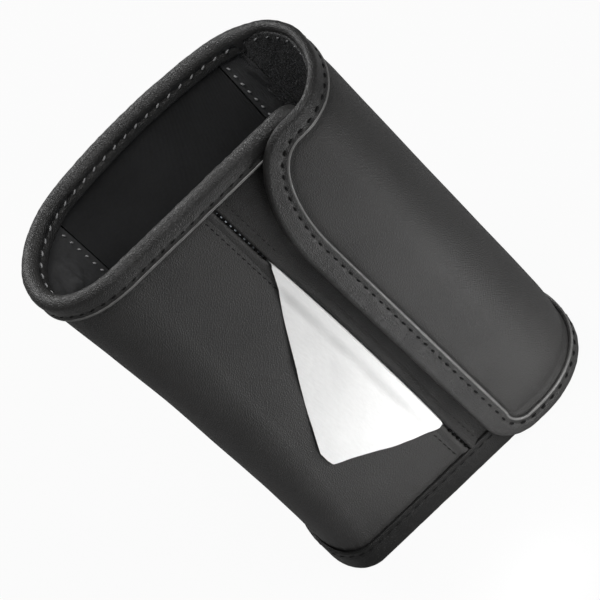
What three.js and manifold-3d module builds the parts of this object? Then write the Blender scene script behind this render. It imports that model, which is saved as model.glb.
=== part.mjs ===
// Car tissue holder: a stiffened pouch of black leather-look sheet, open at the top, that holds a soft pack of
// facial tissue upright. The tissue is pulled out through a long slit in the front. The right end is a
// wrap-over flap: it swings about a vertical line at the back and closes on hook tape beside the slit.
// Millimetres. X runs to the right along the front, Y to the back, Z up. The origin is on the underside of the
// base, in the middle of the pouch.
import * as THREE from 'three';
import { mergeVertices } from 'three/addons/utils/BufferGeometryUtils.js';
import Module from 'manifold-3d';

// Pouch form, measured on the outside of its cover
const pouchHeight = 200;
const waistHalfWidth = 66.1;
const waistHeight = 90;
const mouthFlare = 3.5;
const flapBaseHalfWidth = 65.2;
const flapMouthHalfWidth = 69.5;
const frontDepth = 28;
const backDepth = 28;
const mouthBulge = 12.7;
const baseCornerLength = 16;
const mouthCornerLength = 32.5;
const cornerPowerShare = 2.2;

// Layers of the wall, from the outside in
const coverThickness = 1.2;
const boardThickness = 1.6;
const liningThickness = 0.8;
const layerGap = 0.3;
const boardDepth = coverThickness + layerGap;
const liningDepth = boardDepth + boardThickness + layerGap;
const wallThickness = liningDepth + liningThickness;

// Bindings: folded tape round the mouth, the base and the flap
const tapeThickness = 1.2;
const tapeProud = layerGap + tapeThickness;
const mouthBandHeight = 10;
const mouthCrown = 3;
const mouthInnerHeight = 9;
const baseBandHeight = 12.5;
const baseBandRound = 3;
const baseUnderLeg = 6.5;
const baseEndLeg = 2.6;
const baseEndClearance = 0.8;

// Base, a stack of three plates inside the foot of the walls
const baseCoverThickness = 1.2;
const baseBoardThickness = 2;
const baseLiningThickness = 0.9;
const baseBoardZ = baseCoverThickness + layerGap;
const baseLiningZ = baseBoardZ + baseBoardThickness + layerGap;
const baseTop = baseLiningZ + baseLiningThickness;

// Slit in the front and the panel to its right, which runs on under the flap
const slitX = 2.5;
const slitBottom = 33;
const slitTop = 153;
const panelReach = 5;
const coverSlitEdge = 2;
const liningSlitEdge = 3;
const boardSlitEdge = 6;
const lipWidth = 4.2;
const lipLeftHeight = 1.1;
const lipRightHeight = 1.5;
const lipGape = 1.5;
const lipClosedGap = 0.15;

// Flap: free edge, corners and the layers of its wall
const hingeX = 52;
const flapEdgeX = 13;
const flapBottom = 2.5;
const flapBaseCornerLength = 32;
const flapMouthCornerLength = 23;
const flapUpperCornerWidth = 30;
const flapUpperCornerHeight = 59;
const flapLowerCornerRadius = 16;
const flapCoverThickness = 1;
const flapBoardThickness = 1;
const pileThickness = 1;
const flapBoardDepth = flapCoverThickness + layerGap;
const pileDepth = flapBoardDepth + flapBoardThickness + layerGap;
const flapThickness = pileDepth + pileThickness;
const flapInset = flapThickness + layerGap + tapeProud;
const flapFront = frontDepth + flapInset;
const flapTopBand = 10;
const flapEdgeBand = 11;
const flapBottomBand = 7.5;
const flapInnerBand = 4;
const flapTapeWeb = 1.5;
const flapCoverInset = 2.6;
const flapBoardInset = 5;
const flapBoardLength = 30;

// Linings and boards: where they stop
const boardFoot = 4;
const boardHead = 12;
const backPanelRight = 37;
const backPanelLeftShare = 0.2;

// Hook tape on the slit panel, under the flap
const hookTapeEndClearance = 0.9;
const hookTapeWidth = 20;
const hookTapeThickness = 1.2;
const hookTapeX = 18;
const hookTapeLowZ = 40;
const hookTapeHighZ = 125;

// Refill: a soft pack of folded tissue that stands on the base behind the slit
const packDepth = 38;
const packHeight = 150;
const packCornerShare = 0.447;
const packFrontClearance = 0.4;
const packEndClearance = 4.7;
const filmThickness = 0.6;
const packSlotWidth = 6;
const packSlotMargin = 32;

// Tissue: the corner that hangs out of the slit over the left of the front
const tissueThickness = 0.5;
const tissueReach = 41;
const tissueTipZ = 62;
const tissueTipShare = 0.62;
const tissueFoldHeight = 1.1;
const tissueFoldCount = 3;
const tissueLipRise = 0.4;
const tissueClearance = 0.3;

// Facets: how many steps each stretch of the plan is drawn with
const panelCornerSteps = 2;
const rightSteps = 2;
const frontSteps = 4;
const cornerSteps = 9;
const backSteps = 10;
const wallLevels = 5;
const flapCurveSteps = 18;
const flapCornerSteps = 9;
const outlineSamples = 40;
const crownSteps = 6;
const baseRoundSteps = 5;
const lipRoundSteps = 6;
const lipLevels = 16;
const packCornerSteps = 8;
const tissueRows = 24;
const tissueInnerSteps = 3;
const tissueLipSteps = 4;
const tissueHangSteps = 5;

// Plan of the pouch. One number, the station, runs along the wall: below zero on the front to the right of the
// slit, then the front to the left, round the left end, and along the back to the hinge line.
const panelFlatStation = -rightSteps;
const panelEndStation = -rightSteps - panelCornerSteps;
const leftCornerStation = frontSteps;
const leftNoseStation = leftCornerStation + cornerSteps;
const backStation = leftNoseStation + cornerSteps;
const hingeStation = backStation + backSteps;

function cornerLength(z) {
  return baseCornerLength + (mouthCornerLength - baseCornerLength) * (z / pouchHeight);
}

// The left end is drawn in at its waist. The flap end narrows evenly from the mouth to the base.
function leftHalf(z) {
  return waistHalfWidth + mouthFlare * ((z - waistHeight) / (pouchHeight - waistHeight)) ** 2;
}

function rightHalf(z) {
  return flapBaseHalfWidth + (flapMouthHalfWidth - flapBaseHalfWidth) * (z / pouchHeight);
}

function flatHalf(z) {
  return leftHalf(z) - cornerLength(z);
}

function backBulge(x, z) {
  const half = x < 0 ? leftHalf(z) : rightHalf(z);
  return mouthBulge * (z / pouchHeight) * (1 - (x / half) ** 2);
}

// How far a soft-cornered oval still stands out, a share of its corner's length along that corner
function roundShare(over) {
  return Math.max(0, 1 - Math.max(0, over) ** cornerPowerShare) ** (1 / cornerPowerShare);
}

// The back wall: flat between its corners at the base, and bowed outwards more and more towards the mouth
function backY(x, z) {
  const flat = (x < 0 ? leftHalf(z) : rightHalf(z)) - cornerLength(z);
  return backDepth * roundShare((Math.abs(x) - flat) / cornerLength(z)) + backBulge(x, z);
}

// A quarter of a soft-cornered oval, from one half axis (turn 0) to the other (turn 1)
function quarter(turn) {
  const angle = Math.min(1, Math.max(0, turn)) * Math.PI / 2;
  const along = Math.cos(angle) ** (2 / cornerPowerShare);
  const across = Math.sin(angle) ** (2 / cornerPowerShare);
  return [along, across];
}

// The panel to the right of the slit is flat up to here, and follows the inside of the flap's corner from there
function panelFlat(z) {
  return rightHalf(z) - flapCornerLength(z);
}

function wallPlan(station, z) {
  const flat = flatHalf(z);
  if (station < panelFlatStation) {
    const reach = panelReach * (panelFlatStation - station) / panelCornerSteps;
    const over = reach / (flapCornerLength(z) - flapInset);
    return [panelFlat(z) + reach, -frontDepth * roundShare(over)];
  }
  if (station < 0) {
    return [slitX - (panelFlat(z) - slitX) * station / rightSteps, -frontDepth];
  }
  if (station <= leftCornerStation) {
    return [slitX - (slitX + flat) * station / frontSteps, -frontDepth];
  }
  if (station <= leftNoseStation) {
    const [along, across] = quarter((station - leftCornerStation) / cornerSteps);
    return [-flat - cornerLength(z) * across, -frontDepth * along];
  }
  if (station <= backStation) {
    const [along, across] = quarter((station - leftNoseStation) / cornerSteps);
    const x = -flat - cornerLength(z) * along;
    return [x, backDepth * across + backBulge(x, z)];
  }
  const x = -flat + (hingeX + flat) * (station - backStation) / backSteps;
  return [x, backY(x, z)];
}

// A point in the wall at a height and a depth below the outside of the cover
function wallPoint(station, z, depth) {
  const reach = 1 / cornerSteps;
  const before = wallPlan(station - reach, z);
  const after = wallPlan(station + reach, z);
  const [x, y] = wallPlan(station, z);
  const tangent = new THREE.Vector2(after[0] - before[0], after[1] - before[1]).normalize();
  return new THREE.Vector3(x + tangent.y * depth, y - tangent.x * depth, z);
}

function frontStation(x) {
  return (z) => (x > slitX
    ? -(x - slitX) * rightSteps / (panelFlat(z) - slitX)
    : (slitX - x) * frontSteps / (slitX + flatHalf(z)));
}

function backStationAt(x) {
  return (z) => backStation + backSteps * (x + flatHalf(z)) / (hingeX + flatHalf(z));
}

// Plan of the flap. It is measured as a length along its outside, from the free edge on the front, round the
// right end, to the hinge line at the back.
function flapCornerLength(z) {
  return flapBaseCornerLength + (flapMouthCornerLength - flapBaseCornerLength) * (z / pouchHeight);
}

const flapStraight = Math.min(panelFlat(0), panelFlat(pouchHeight)) - flapEdgeX;
const flapOutlines = new Map();

function flapOutline(z) {
  if (flapOutlines.has(z)) return flapOutlines.get(z);
  const corner = flapCornerLength(z);
  const half = rightHalf(z);
  const points = [new THREE.Vector2(flapEdgeX, -flapFront)];
  for (let i = 0; i <= outlineSamples; i += 1) {
    const [along, across] = quarter(i / outlineSamples);
    points.push(new THREE.Vector2(half - corner + corner * across, -flapFront * along));
  }
  for (let i = 1; i <= outlineSamples; i += 1) {
    const x = hingeX + (half - hingeX) * Math.cos(i / outlineSamples * Math.PI / 2);
    points.push(new THREE.Vector2(x, backY(x, z)));
  }
  const lengths = [0];
  for (let i = 1; i < points.length; i += 1) {
    lengths.push(lengths[i - 1] + points[i].distanceTo(points[i - 1]));
  }
  const outline = { points, lengths, total: lengths[lengths.length - 1] };
  flapOutlines.set(z, outline);
  return outline;
}

const flapLength = flapOutline(pouchHeight / 2).total;

function flapPlan(length, z) {
  const { points, lengths, total } = flapOutline(z);
  const beyond = Math.max(0, length - flapStraight);
  const stretch = (total - flapStraight) / (flapLength - flapStraight);
  const wanted = Math.min(length, flapStraight) + beyond * stretch;
  let i = 1;
  while (i < points.length - 1 && lengths[i] < wanted) i += 1;
  const share = (wanted - lengths[i - 1]) / (lengths[i] - lengths[i - 1]);
  return points[i - 1].clone().lerp(points[i], share);
}

function flapPoint(length, z, depth) {
  const reach = flapThickness / 2;
  const tangent = flapPlan(length + reach, z).sub(flapPlan(length - reach, z)).normalize();
  const point = flapPlan(length, z);
  return new THREE.Vector3(point.x - tangent.y * depth, point.y + tangent.x * depth, z);
}

// Closed meshes from rows of points. A mesh that comes out inside out is turned round.
function closedGeometry(points, faces) {
  const [a, b, c] = [new THREE.Vector3(), new THREE.Vector3(), new THREE.Vector3()];
  let volume = 0;
  for (const [i, j, k] of faces) {
    a.copy(points[i]);
    b.copy(points[j]);
    c.copy(points[k]);
    volume += a.dot(b.cross(c));
  }
  const ordered = volume < 0 ? faces.map(([i, j, k]) => [i, k, j]) : faces;
  const geometry = new THREE.BufferGeometry();
  geometry.setAttribute('position', new THREE.Float32BufferAttribute(points.flatMap((p) => [p.x, p.y, p.z]), 3));
  geometry.setIndex(ordered.flat());
  geometry.computeVertexNormals();
  return geometry;
}

// A sheet with an outside and an inside skin, both grids of points, closed along its four edges
function sheetSolid(outside, inside) {
  const rows = outside.length;
  const columns = outside[0].length;
  const points = [...outside.flat(), ...inside.flat()];
  const faces = [];
  const at = (skin, i, j) => (skin * rows + i) * columns + j;
  const quad = (p, q, r, s) => faces.push([p, q, r], [p, r, s]);
  for (let i = 0; i < rows - 1; i += 1) {
    for (let j = 0; j < columns - 1; j += 1) {
      quad(at(0, i, j), at(0, i + 1, j), at(0, i + 1, j + 1), at(0, i, j + 1));
      quad(at(1, i, j), at(1, i, j + 1), at(1, i + 1, j + 1), at(1, i + 1, j));
    }
    quad(at(0, i, 0), at(1, i, 0), at(1, i + 1, 0), at(0, i + 1, 0));
    quad(at(0, i, columns - 1), at(0, i + 1, columns - 1), at(1, i + 1, columns - 1), at(1, i, columns - 1));
  }
  for (let j = 0; j < columns - 1; j += 1) {
    quad(at(0, 0, j), at(0, 0, j + 1), at(1, 0, j + 1), at(1, 0, j));
    quad(at(0, rows - 1, j), at(1, rows - 1, j), at(1, rows - 1, j + 1), at(0, rows - 1, j + 1));
  }
  return closedGeometry(points, faces);
}

// A strip with one section all along, given as the section's outline and a ring of points at each stop
function sweptSolid(section, rings) {
  const count = section.length;
  const points = rings.flat();
  const faces = [];
  for (let i = 0; i < rings.length - 1; i += 1) {
    for (let j = 0; j < count; j += 1) {
      const next = (j + 1) % count;
      const [p, q] = [i * count + j, i * count + next];
      faces.push([p, q, q + count], [p, q + count, p + count]);
    }
  }
  const last = (rings.length - 1) * count;
  const runsBack = THREE.ShapeUtils.isClockWise(section);
  for (const [i, j, k] of THREE.ShapeUtils.triangulateShape(section, [])) {
    const turnsBack = THREE.ShapeUtils.isClockWise([section[i], section[j], section[k]]);
    const [m, n] = runsBack === turnsBack ? [j, k] : [k, j];
    faces.push([i, n, m], [last + i, last + m, last + n]);
  }
  return closedGeometry(points, faces);
}

// The stops between two stations, which may each vary with height: the whole stations between them, and the
// ends. A whole station that lies closer to an end than the nearness share is left out.
const nearnessShare = 0.12;

function stationsBetween(from, to, heights) {
  const first = Math.max(...heights.map(from));
  const last = Math.min(...heights.map(to));
  const inner = [];
  for (let s = Math.ceil(first + nearnessShare); s <= last - nearnessShare; s += 1) inner.push(() => s);
  return [from, ...inner, to];
}

function steps(count, from, to) {
  return Array.from({ length: count + 1 }, (_, i) => from + (to - from) * i / count);
}

// One layer of the pouch wall between two stations, two heights and two depths
function wallLayer(from, to, bottom, top, depth, thickness) {
  const heights = steps(wallLevels, bottom, top);
  const stops = stationsBetween(from, to, heights);
  const skin = (d) => stops.map((stop) => heights.map((z) => wallPoint(stop(z), z, d)));
  return sheetSolid(skin(depth), skin(depth + thickness));
}

const wallFoot = baseCoverThickness + layerGap;
const wallHead = pouchHeight - mouthCrown - layerGap - layerGap;
const hingeEdge = backStationAt(hingeX - layerGap / 2);

const outerCoverGeometry = wallLayer(frontStation(slitX - coverSlitEdge), hingeEdge, wallFoot, wallHead, 0,
  coverThickness);
const slitPanelGeometry = wallLayer(() => panelEndStation, frontStation(slitX + coverSlitEdge), wallFoot,
  wallHead, 0, coverThickness);

// Boards: stiff sheets between the cover and the lining, on the flat stretches of the wall
function boardLayer(from, to) {
  return wallLayer(from, to, boardFoot, pouchHeight - boardHead, boardDepth, boardThickness);
}

const boardBackGeometry = boardLayer(() => backStation, backStationAt(backPanelRight - layerGap));
const boardFrontLeftGeometry = boardLayer(frontStation(slitX - boardSlitEdge), () => leftCornerStation);
const boardFrontRightGeometry = boardLayer(() => panelFlatStation, frontStation(slitX + boardSlitEdge));

// Linings: the flat back panel, with a softer strip sewn on at each of its ends, and the rest of the inside
const liningFoot = baseTop + layerGap;
const backPanelLeft = backStation - cornerSteps * backPanelLeftShare;
const edgeGap = layerGap / waistHalfWidth * backSteps;

function liningLayer(from, to) {
  return wallLayer(from, to, liningFoot, wallHead, liningDepth, liningThickness);
}

const liningBackGeometry = liningLayer(() => backPanelLeft, backStationAt(backPanelRight));
const liningHingeStripGeometry = liningLayer(backStationAt(backPanelRight + layerGap), hingeEdge);
const liningLeftEndGeometry = liningLayer(() => leftCornerStation, () => backPanelLeft - edgeGap);
const liningFrontLeftGeometry = liningLayer(frontStation(slitX - liningSlitEdge),
  () => leftCornerStation - edgeGap);
const liningFrontRightGeometry = liningLayer(() => panelEndStation, frontStation(slitX + liningSlitEdge));

// Bindings that follow the wall: the section is drawn as depth below the cover and height
function wallBinding(section, from, to) {
  const stops = stationsBetween(() => from, () => to, [0]).map((stop) => stop(0));
  const rings = stops.map((s) => section.map((p) => wallPoint(s, p.y, p.x)));
  return sweptSolid(section, rings);
}

function mouthSection() {
  const innerFace = wallThickness + tapeProud;
  const crownBase = pouchHeight - mouthCrown;
  const middle = (innerFace - tapeProud) / 2;
  const halfThick = (innerFace + tapeProud) / 2;
  const crown = steps(crownSteps, 0, Math.PI).map((angle) => new THREE.Vector2(
    middle - halfThick * Math.cos(angle), crownBase + mouthCrown * Math.sin(angle)));
  return [
    new THREE.Vector2(-layerGap, pouchHeight - mouthBandHeight),
    new THREE.Vector2(-tapeProud, pouchHeight - mouthBandHeight),
    ...crown,
    new THREE.Vector2(innerFace, pouchHeight - mouthInnerHeight),
    new THREE.Vector2(wallThickness + layerGap, pouchHeight - mouthInnerHeight),
    new THREE.Vector2(wallThickness + layerGap, crownBase - layerGap),
    new THREE.Vector2(-layerGap, crownBase - layerGap),
  ];
}

function baseSection() {
  const turn = baseBandRound - tapeProud;
  const round = steps(baseRoundSteps, 0, Math.PI / 2).map((angle) => new THREE.Vector2(
    turn - baseBandRound * Math.cos(angle), baseBandRound - baseBandRound * Math.sin(angle)));
  return [
    new THREE.Vector2(-layerGap, baseBandHeight),
    new THREE.Vector2(-tapeProud, baseBandHeight),
    ...round,
    new THREE.Vector2(baseUnderLeg, 0),
    new THREE.Vector2(baseUnderLeg, baseCoverThickness),
    new THREE.Vector2(-layerGap, baseCoverThickness),
  ];
}

const mouthBindingGeometry = wallBinding(mouthSection(), panelEndStation, hingeEdge(pouchHeight));
const baseBindingGeometry = wallBinding(baseSection(), panelEndStation, hingeEdge(0));

// Right end of the base, which only the flap covers: the plates are bound there with a low tape of their own
const baseEndFace = flapThickness + layerGap;
const flapStops = steps(flapCurveSteps, flapStraight, flapLength);

function lengthAtX(x) {
  let [low, high] = [0, flapOutline(0).total];
  const isFront = (length) => flapPoint(length, 0, flapInset).x < x && flapPlan(length, 0).y < 0;
  for (let i = 0; i < outlineSamples; i += 1) {
    const middle = (low + high) / 2;
    if (isFront(middle)) low = middle;
    else high = middle;
  }
  return low;
}

const baseEndTop = baseTop + tapeProud;
const panelEndX = Math.max(panelFlat(0), panelFlat(baseEndTop)) + panelReach;
const baseEndStart = lengthAtX(panelEndX + baseEndClearance);
const baseEndLengths = [
  baseEndStart,
  ...flapStops.filter((length) => length > baseEndStart + tapeProud && length < flapLength - tapeProud),
  flapLength - baseEndClearance,
];

function baseEndSection() {
  const inner = flapInset + baseEndLeg;
  return [
    new THREE.Vector2(baseEndFace + tapeThickness / 2, 0),
    new THREE.Vector2(inner, 0),
    new THREE.Vector2(inner, baseCoverThickness),
    new THREE.Vector2(baseEndFace + tapeThickness, baseCoverThickness),
    new THREE.Vector2(baseEndFace + tapeThickness, baseTop + layerGap),
    new THREE.Vector2(inner, baseTop + layerGap),
    new THREE.Vector2(inner, baseEndTop),
    new THREE.Vector2(baseEndFace + tapeThickness / 2, baseEndTop),
    new THREE.Vector2(baseEndFace, baseEndTop - tapeThickness / 2),
    new THREE.Vector2(baseEndFace, tapeThickness / 2),
  ];
}

const baseEndRings = baseEndLengths.map((length) => baseEndSection().map((p) => flapPoint(length, p.y, p.x)));
const baseEndBindingGeometry = sweptSolid(baseEndSection(), baseEndRings);

// Base plates: one outline inside the walls and, past them, inside the tape of the base's right end
function basePlate(wallInset, endInset, bottom, thickness) {
  const stations = [];
  for (let s = panelEndStation; s < hingeStation; s += 1) stations.push(wallPoint(s, 0, wallInset));
  stations.push(wallPoint(hingeEdge(0), 0, wallInset));
  const end = baseEndLengths.map((length) => flapPoint(length, 0, endInset)).reverse();
  const outline = [...stations, ...end].map((p) => new THREE.Vector2(p.x, p.y));
  const plate = new THREE.ExtrudeGeometry(new THREE.Shape(outline), { depth: thickness, bevelEnabled: false });
  return plate.translate(0, 0, bottom);
}

const baseCoverGeometry = basePlate(baseUnderLeg + layerGap, flapInset + baseEndLeg + layerGap, 0,
  baseCoverThickness);
const baseBoardGeometry = basePlate(wallThickness + layerGap, flapInset, baseBoardZ, baseBoardThickness);
const baseLiningGeometry = basePlate(wallThickness + layerGap, flapInset, baseLiningZ, baseLiningThickness);

// Lips of the slit: each edge is folded back into a raised roll. They meet above and below, where they are sewn
// shut, and gape between, where the tissue comes out.
function lipOffset(z) {
  const share = (z - slitBottom) / (slitTop - slitBottom);
  const open = share > 0 && share < 1 ? Math.sqrt(Math.sin(Math.PI * share)) : 0;
  return lipClosedGap + lipGape * open;
}

function lipGeometry(side, height) {
  const section = steps(lipRoundSteps, 0, Math.PI).map((angle) => new THREE.Vector2(
    lipWidth / 2 - lipWidth / 2 * Math.cos(angle), height * Math.sin(angle)));
  const openLevels = steps(lipLevels, slitBottom, slitTop);
  const levels = [baseBandHeight + layerGap, ...openLevels, pouchHeight - mouthBandHeight - layerGap];
  const rings = levels.map((z) => section.map((p) => new THREE.Vector3(
    slitX + side * (lipOffset(z) + p.x), -frontDepth - layerGap - p.y, z)));
  return sweptSolid(section, rings);
}

const slitLipLeftGeometry = lipGeometry(-1, lipLeftHeight);
const slitLipRightGeometry = lipGeometry(1, lipRightHeight);

// Hook tape, sewn to the flat of the slit panel
const hookTapeLength = panelFlat(hookTapeLowZ) - hookTapeX - hookTapeEndClearance;

function hookTapeGeometry(bottom) {
  const tape = new THREE.BoxGeometry(hookTapeLength, hookTapeThickness, hookTapeWidth);
  const y = -frontDepth - layerGap - hookTapeThickness / 2;
  return tape.translate(hookTapeX + hookTapeLength / 2, y, bottom + hookTapeWidth / 2);
}

// Outline of the flap, drawn flat: the height of its top and bottom edge at a length from the free edge, both
// taken a distance in from the rim
function flapTopAt(length, inset) {
  const middle = pouchHeight - flapUpperCornerHeight;
  const half = flapUpperCornerWidth - inset;
  const over = Math.max(0, flapUpperCornerWidth - length) / half;
  return middle + (flapUpperCornerHeight - inset) * Math.sqrt(Math.max(0, 1 - over * over));
}

function flapBottomAt(length, inset) {
  const middle = flapBottom + flapLowerCornerRadius;
  const half = flapLowerCornerRadius - inset;
  const over = Math.max(0, flapLowerCornerRadius - length) / half;
  return middle - half * Math.sqrt(Math.max(0, 1 - over * over));
}

// Stops along the flap, close together where the corners of its free edge turn
function flapColumns(inset, end) {
  const corner = (size) => steps(flapCornerSteps, 0, Math.PI / 2)
    .map((angle) => size - (size - inset) * Math.cos(angle));
  const all = [...corner(flapUpperCornerWidth), ...corner(flapLowerCornerRadius), ...flapStops, end];
  const sorted = all.filter((length) => length <= end).sort((a, b) => a - b);
  return sorted.filter((length, i) => i === 0 || length - sorted[i - 1] > tapeThickness / 2);
}

function flapLayer(inset, end, depth, thickness) {
  const columns = flapColumns(inset, end);
  columns[columns.length - 1] = end;
  const skin = (d) => columns.map((length) => {
    const heights = steps(wallLevels, flapBottomAt(length, inset), flapTopAt(length, inset));
    return heights.map((z) => flapPoint(length, z, d));
  });
  return sheetSolid(skin(depth), skin(depth + thickness));
}

const flapHingeEnd = flapLength - layerGap / 2;
const flapCoverGeometry = flapLayer(flapCoverInset, flapHingeEnd, 0, flapCoverThickness);
const flapBoardGeometry = flapLayer(flapBoardInset, flapBoardLength, flapBoardDepth, flapBoardThickness);
const pileGeometry = flapLayer(flapInnerBand + layerGap, flapHingeEnd, pileDepth, pileThickness);

// Binding of the flap: along its top, down its free edge and along its bottom, folded over both faces
function flapRim() {
  const along = [...flapStops].reverse().filter((length) => length > flapUpperCornerWidth + tapeProud);
  along[0] = flapHingeEnd;
  const stops = along.map((length) => ({ band: flapTopBand, at: (inset) => [length, pouchHeight - inset] }));
  const upper = pouchHeight - flapUpperCornerHeight;
  for (const angle of steps(flapCornerSteps, Math.PI / 2, 0)) {
    const turned = 1 - angle / (Math.PI / 2);
    stops.push({
      band: flapTopBand + (flapEdgeBand - flapTopBand) * turned,
      at: (inset) => [
        flapUpperCornerWidth - (flapUpperCornerWidth - inset) * Math.cos(angle),
        upper + (flapUpperCornerHeight - inset) * Math.sin(angle),
      ],
    });
  }
  const lower = flapBottom + flapLowerCornerRadius;
  for (const angle of steps(flapCornerSteps, 0, Math.PI / 2)) {
    const turned = angle / (Math.PI / 2);
    stops.push({
      band: flapEdgeBand + (flapBottomBand - flapEdgeBand) * turned,
      at: (inset) => [
        flapLowerCornerRadius - (flapLowerCornerRadius - inset) * Math.cos(angle),
        lower - (flapLowerCornerRadius - inset) * Math.sin(angle),
      ],
    });
  }
  const back = flapStops.filter((length) => length > flapLowerCornerRadius + tapeProud);
  back[back.length - 1] = flapHingeEnd;
  for (const length of back) {
    stops.push({ band: flapBottomBand, at: (inset) => [length, flapBottom + inset] });
  }
  return stops;
}

function flapBindingSection(band) {
  const round = tapeThickness / 2;
  return [
    new THREE.Vector2(band, -tapeProud + round / 2),
    new THREE.Vector2(band, -layerGap),
    new THREE.Vector2(flapTapeWeb, -layerGap),
    new THREE.Vector2(flapTapeWeb, pileDepth),
    new THREE.Vector2(flapInnerBand, pileDepth),
    new THREE.Vector2(flapInnerBand, flapThickness),
    new THREE.Vector2(round, flapThickness),
    new THREE.Vector2(0, flapThickness - round),
    new THREE.Vector2(0, -tapeProud + round),
    new THREE.Vector2(round, -tapeProud),
    new THREE.Vector2(band - round, -tapeProud),
  ];
}

const flapBindingRings = flapRim().map((stop) => flapBindingSection(stop.band).map((p) => {
  const [length, z] = stop.at(p.x);
  return flapPoint(length, z, p.y);
}));
const flapBindingGeometry = sweptSolid(flapBindingSection(flapEdgeBand), flapBindingRings);

// Refill pack: a film wrapper with a slot in its front, and the block of folded tissue that fills it
const packFront = -frontDepth + wallThickness + tapeProud + packFrontClearance;
const packY = packFront + packDepth / 2;
const packBottom = baseTop + layerGap;
const roomRight = Math.min(flapBaseHalfWidth, flapMouthHalfWidth) - flapInset - baseEndLeg - slitX;
const roomLeft = waistHalfWidth - wallThickness - tapeProud + slitX;
const packWidth = 2 * (Math.min(roomRight, roomLeft) - packEndClearance);
const packCornerRadius = packDepth * packCornerShare;

function roundedBlock(width, depth, height, radius) {
  const [x, y] = [width / 2, depth / 2];
  const outline = new THREE.Shape();
  outline.absarc(x - radius, y - radius, radius, 0, Math.PI / 2);
  outline.absarc(radius - x, y - radius, radius, Math.PI / 2, Math.PI);
  outline.absarc(radius - x, radius - y, radius, Math.PI, 3 * Math.PI / 2);
  outline.absarc(x - radius, radius - y, radius, 3 * Math.PI / 2, 2 * Math.PI);
  const block = new THREE.ExtrudeGeometry(outline, { depth: height, bevelEnabled: false,
    curveSegments: packCornerSteps });
  return block.translate(slitX, packY, packBottom);
}

const wasm = await Module();
wasm.setup();

function toSolid(geometry) {
  const bare = geometry.clone();
  bare.deleteAttribute('normal');
  bare.deleteAttribute('uv');
  const merged = mergeVertices(bare);
  const vertProperties = new Float32Array(merged.getAttribute('position').array);
  const triVerts = new Uint32Array(merged.getIndex().array);
  return new wasm.Manifold(new wasm.Mesh({ numProp: 3, vertProperties, triVerts }));
}

function toGeometry(solid) {
  const mesh = solid.getMesh();
  const geometry = new THREE.BufferGeometry();
  geometry.setAttribute('position', new THREE.Float32BufferAttribute(mesh.vertProperties, 3));
  geometry.setIndex([...mesh.triVerts]);
  geometry.computeVertexNormals();
  return geometry;
}

function insetBlock(inset) {
  const block = roundedBlock(packWidth - 2 * inset, packDepth - 2 * inset, packHeight - 2 * inset,
    packCornerRadius - inset);
  return block.translate(0, 0, inset);
}

const packSlot = new THREE.BoxGeometry(packSlotWidth, packDepth / 2, packHeight - packSlotMargin)
  .translate(slitX, packFront, packBottom + packHeight / 2);
const wrapperGeometry = toGeometry(
  toSolid(insetBlock(0)).subtract(toSolid(insetBlock(filmThickness))).subtract(toSolid(packSlot)));
const stackGeometry = insetBlock(filmThickness + layerGap);

// Tissue: it stands in the slit, turns over the left lip and hangs down the front as a three-cornered leaf. Each
// row runs from the pack out to the leaf's edge, which comes down from the top of the slit to the tip and back
// to the slit's foot.
const tissueTop = slitTop - lipWidth;
const tissueFoot = slitBottom + lipWidth;
const tissueTipX = slitX - tissueReach;

function tissueEdge(share) {
  const top = new THREE.Vector2(slitX - lipWidth, tissueTop);
  const tip = new THREE.Vector2(tissueTipX, tissueTipZ);
  const foot = new THREE.Vector2(slitX - lipWidth, tissueFoot);
  if (share < tissueTipShare) return top.lerp(tip, share / tissueTipShare);
  return tip.lerp(foot, (share - tissueTipShare) / (1 - tissueTipShare));
}

const tissueLie = frontDepth + tissueClearance + tissueThickness / 2;
const tissueOverLip = frontDepth + layerGap + lipLeftHeight + tissueClearance + tissueThickness / 2
  + tissueLipRise;

function tissueRow(share) {
  const z = tissueTop + (tissueFoot - tissueTop) * share;
  const edge = tissueEdge(share);
  const inner = packFront - tissueClearance;
  const row = steps(tissueInnerSteps, inner, -frontDepth - lipLeftHeight / 2)
    .map((y) => new THREE.Vector3(slitX, y, z));
  row.push(new THREE.Vector3(slitX - lipGape / 2, -tissueOverLip, z));
  const start = new THREE.Vector2(slitX - lipWidth / 2, z);
  const lipShare = Math.min(tissueTipShare, (lipGape + lipWidth) / start.distanceTo(edge));
  for (const out of [...steps(tissueLipSteps, 0, lipShare), ...steps(tissueHangSteps, lipShare, 1).slice(1)]) {
    const at = start.clone().lerp(edge, out);
    const settle = THREE.MathUtils.smoothstep(slitX - lipGape - lipWidth / 2 - at.x, 0, lipWidth);
    const fold = tissueFoldHeight * settle * out * Math.sin(Math.PI * tissueFoldCount * share) ** 2;
    row.push(new THREE.Vector3(at.x, -tissueOverLip + (tissueOverLip - tissueLie) * settle - fold, at.y));
  }
  return row;
}

function tissueGeometry() {
  const middle = steps(tissueRows, 0, 1).map(tissueRow);
  const offset = (side) => middle.map((row) => row.map((point, j) => {
    const before = row[Math.max(0, j - 1)];
    const after = row[Math.min(row.length - 1, j + 1)];
    const along = after.clone().sub(before).setZ(0).normalize();
    const across = new THREE.Vector3(-along.y, along.x, 0).multiplyScalar(side * tissueThickness / 2);
    return point.clone().add(across);
  }));
  return sheetSolid(offset(1), offset(-1));
}

// Finishes
function finish(color, roughness) {
  return new THREE.MeshStandardMaterial({ color, roughness, metalness: 0 });
}

const leather = finish('#343434', 0.5);
const tape = finish('#3c3c3d', 0.55);
const cloth = finish('#222223', 0.85);
const pile = finish('#161617', 1);
const greyBoard = finish('#77746d', 0.9);
const film = finish('#d9e4ea', 0.3);
const paper = finish('#fbfbfa', 0.95);

// Assembly
function named(name, geometry, material) {
  const mesh = new THREE.Mesh(geometry, material);
  mesh.name = name;
  return mesh;
}

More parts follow.
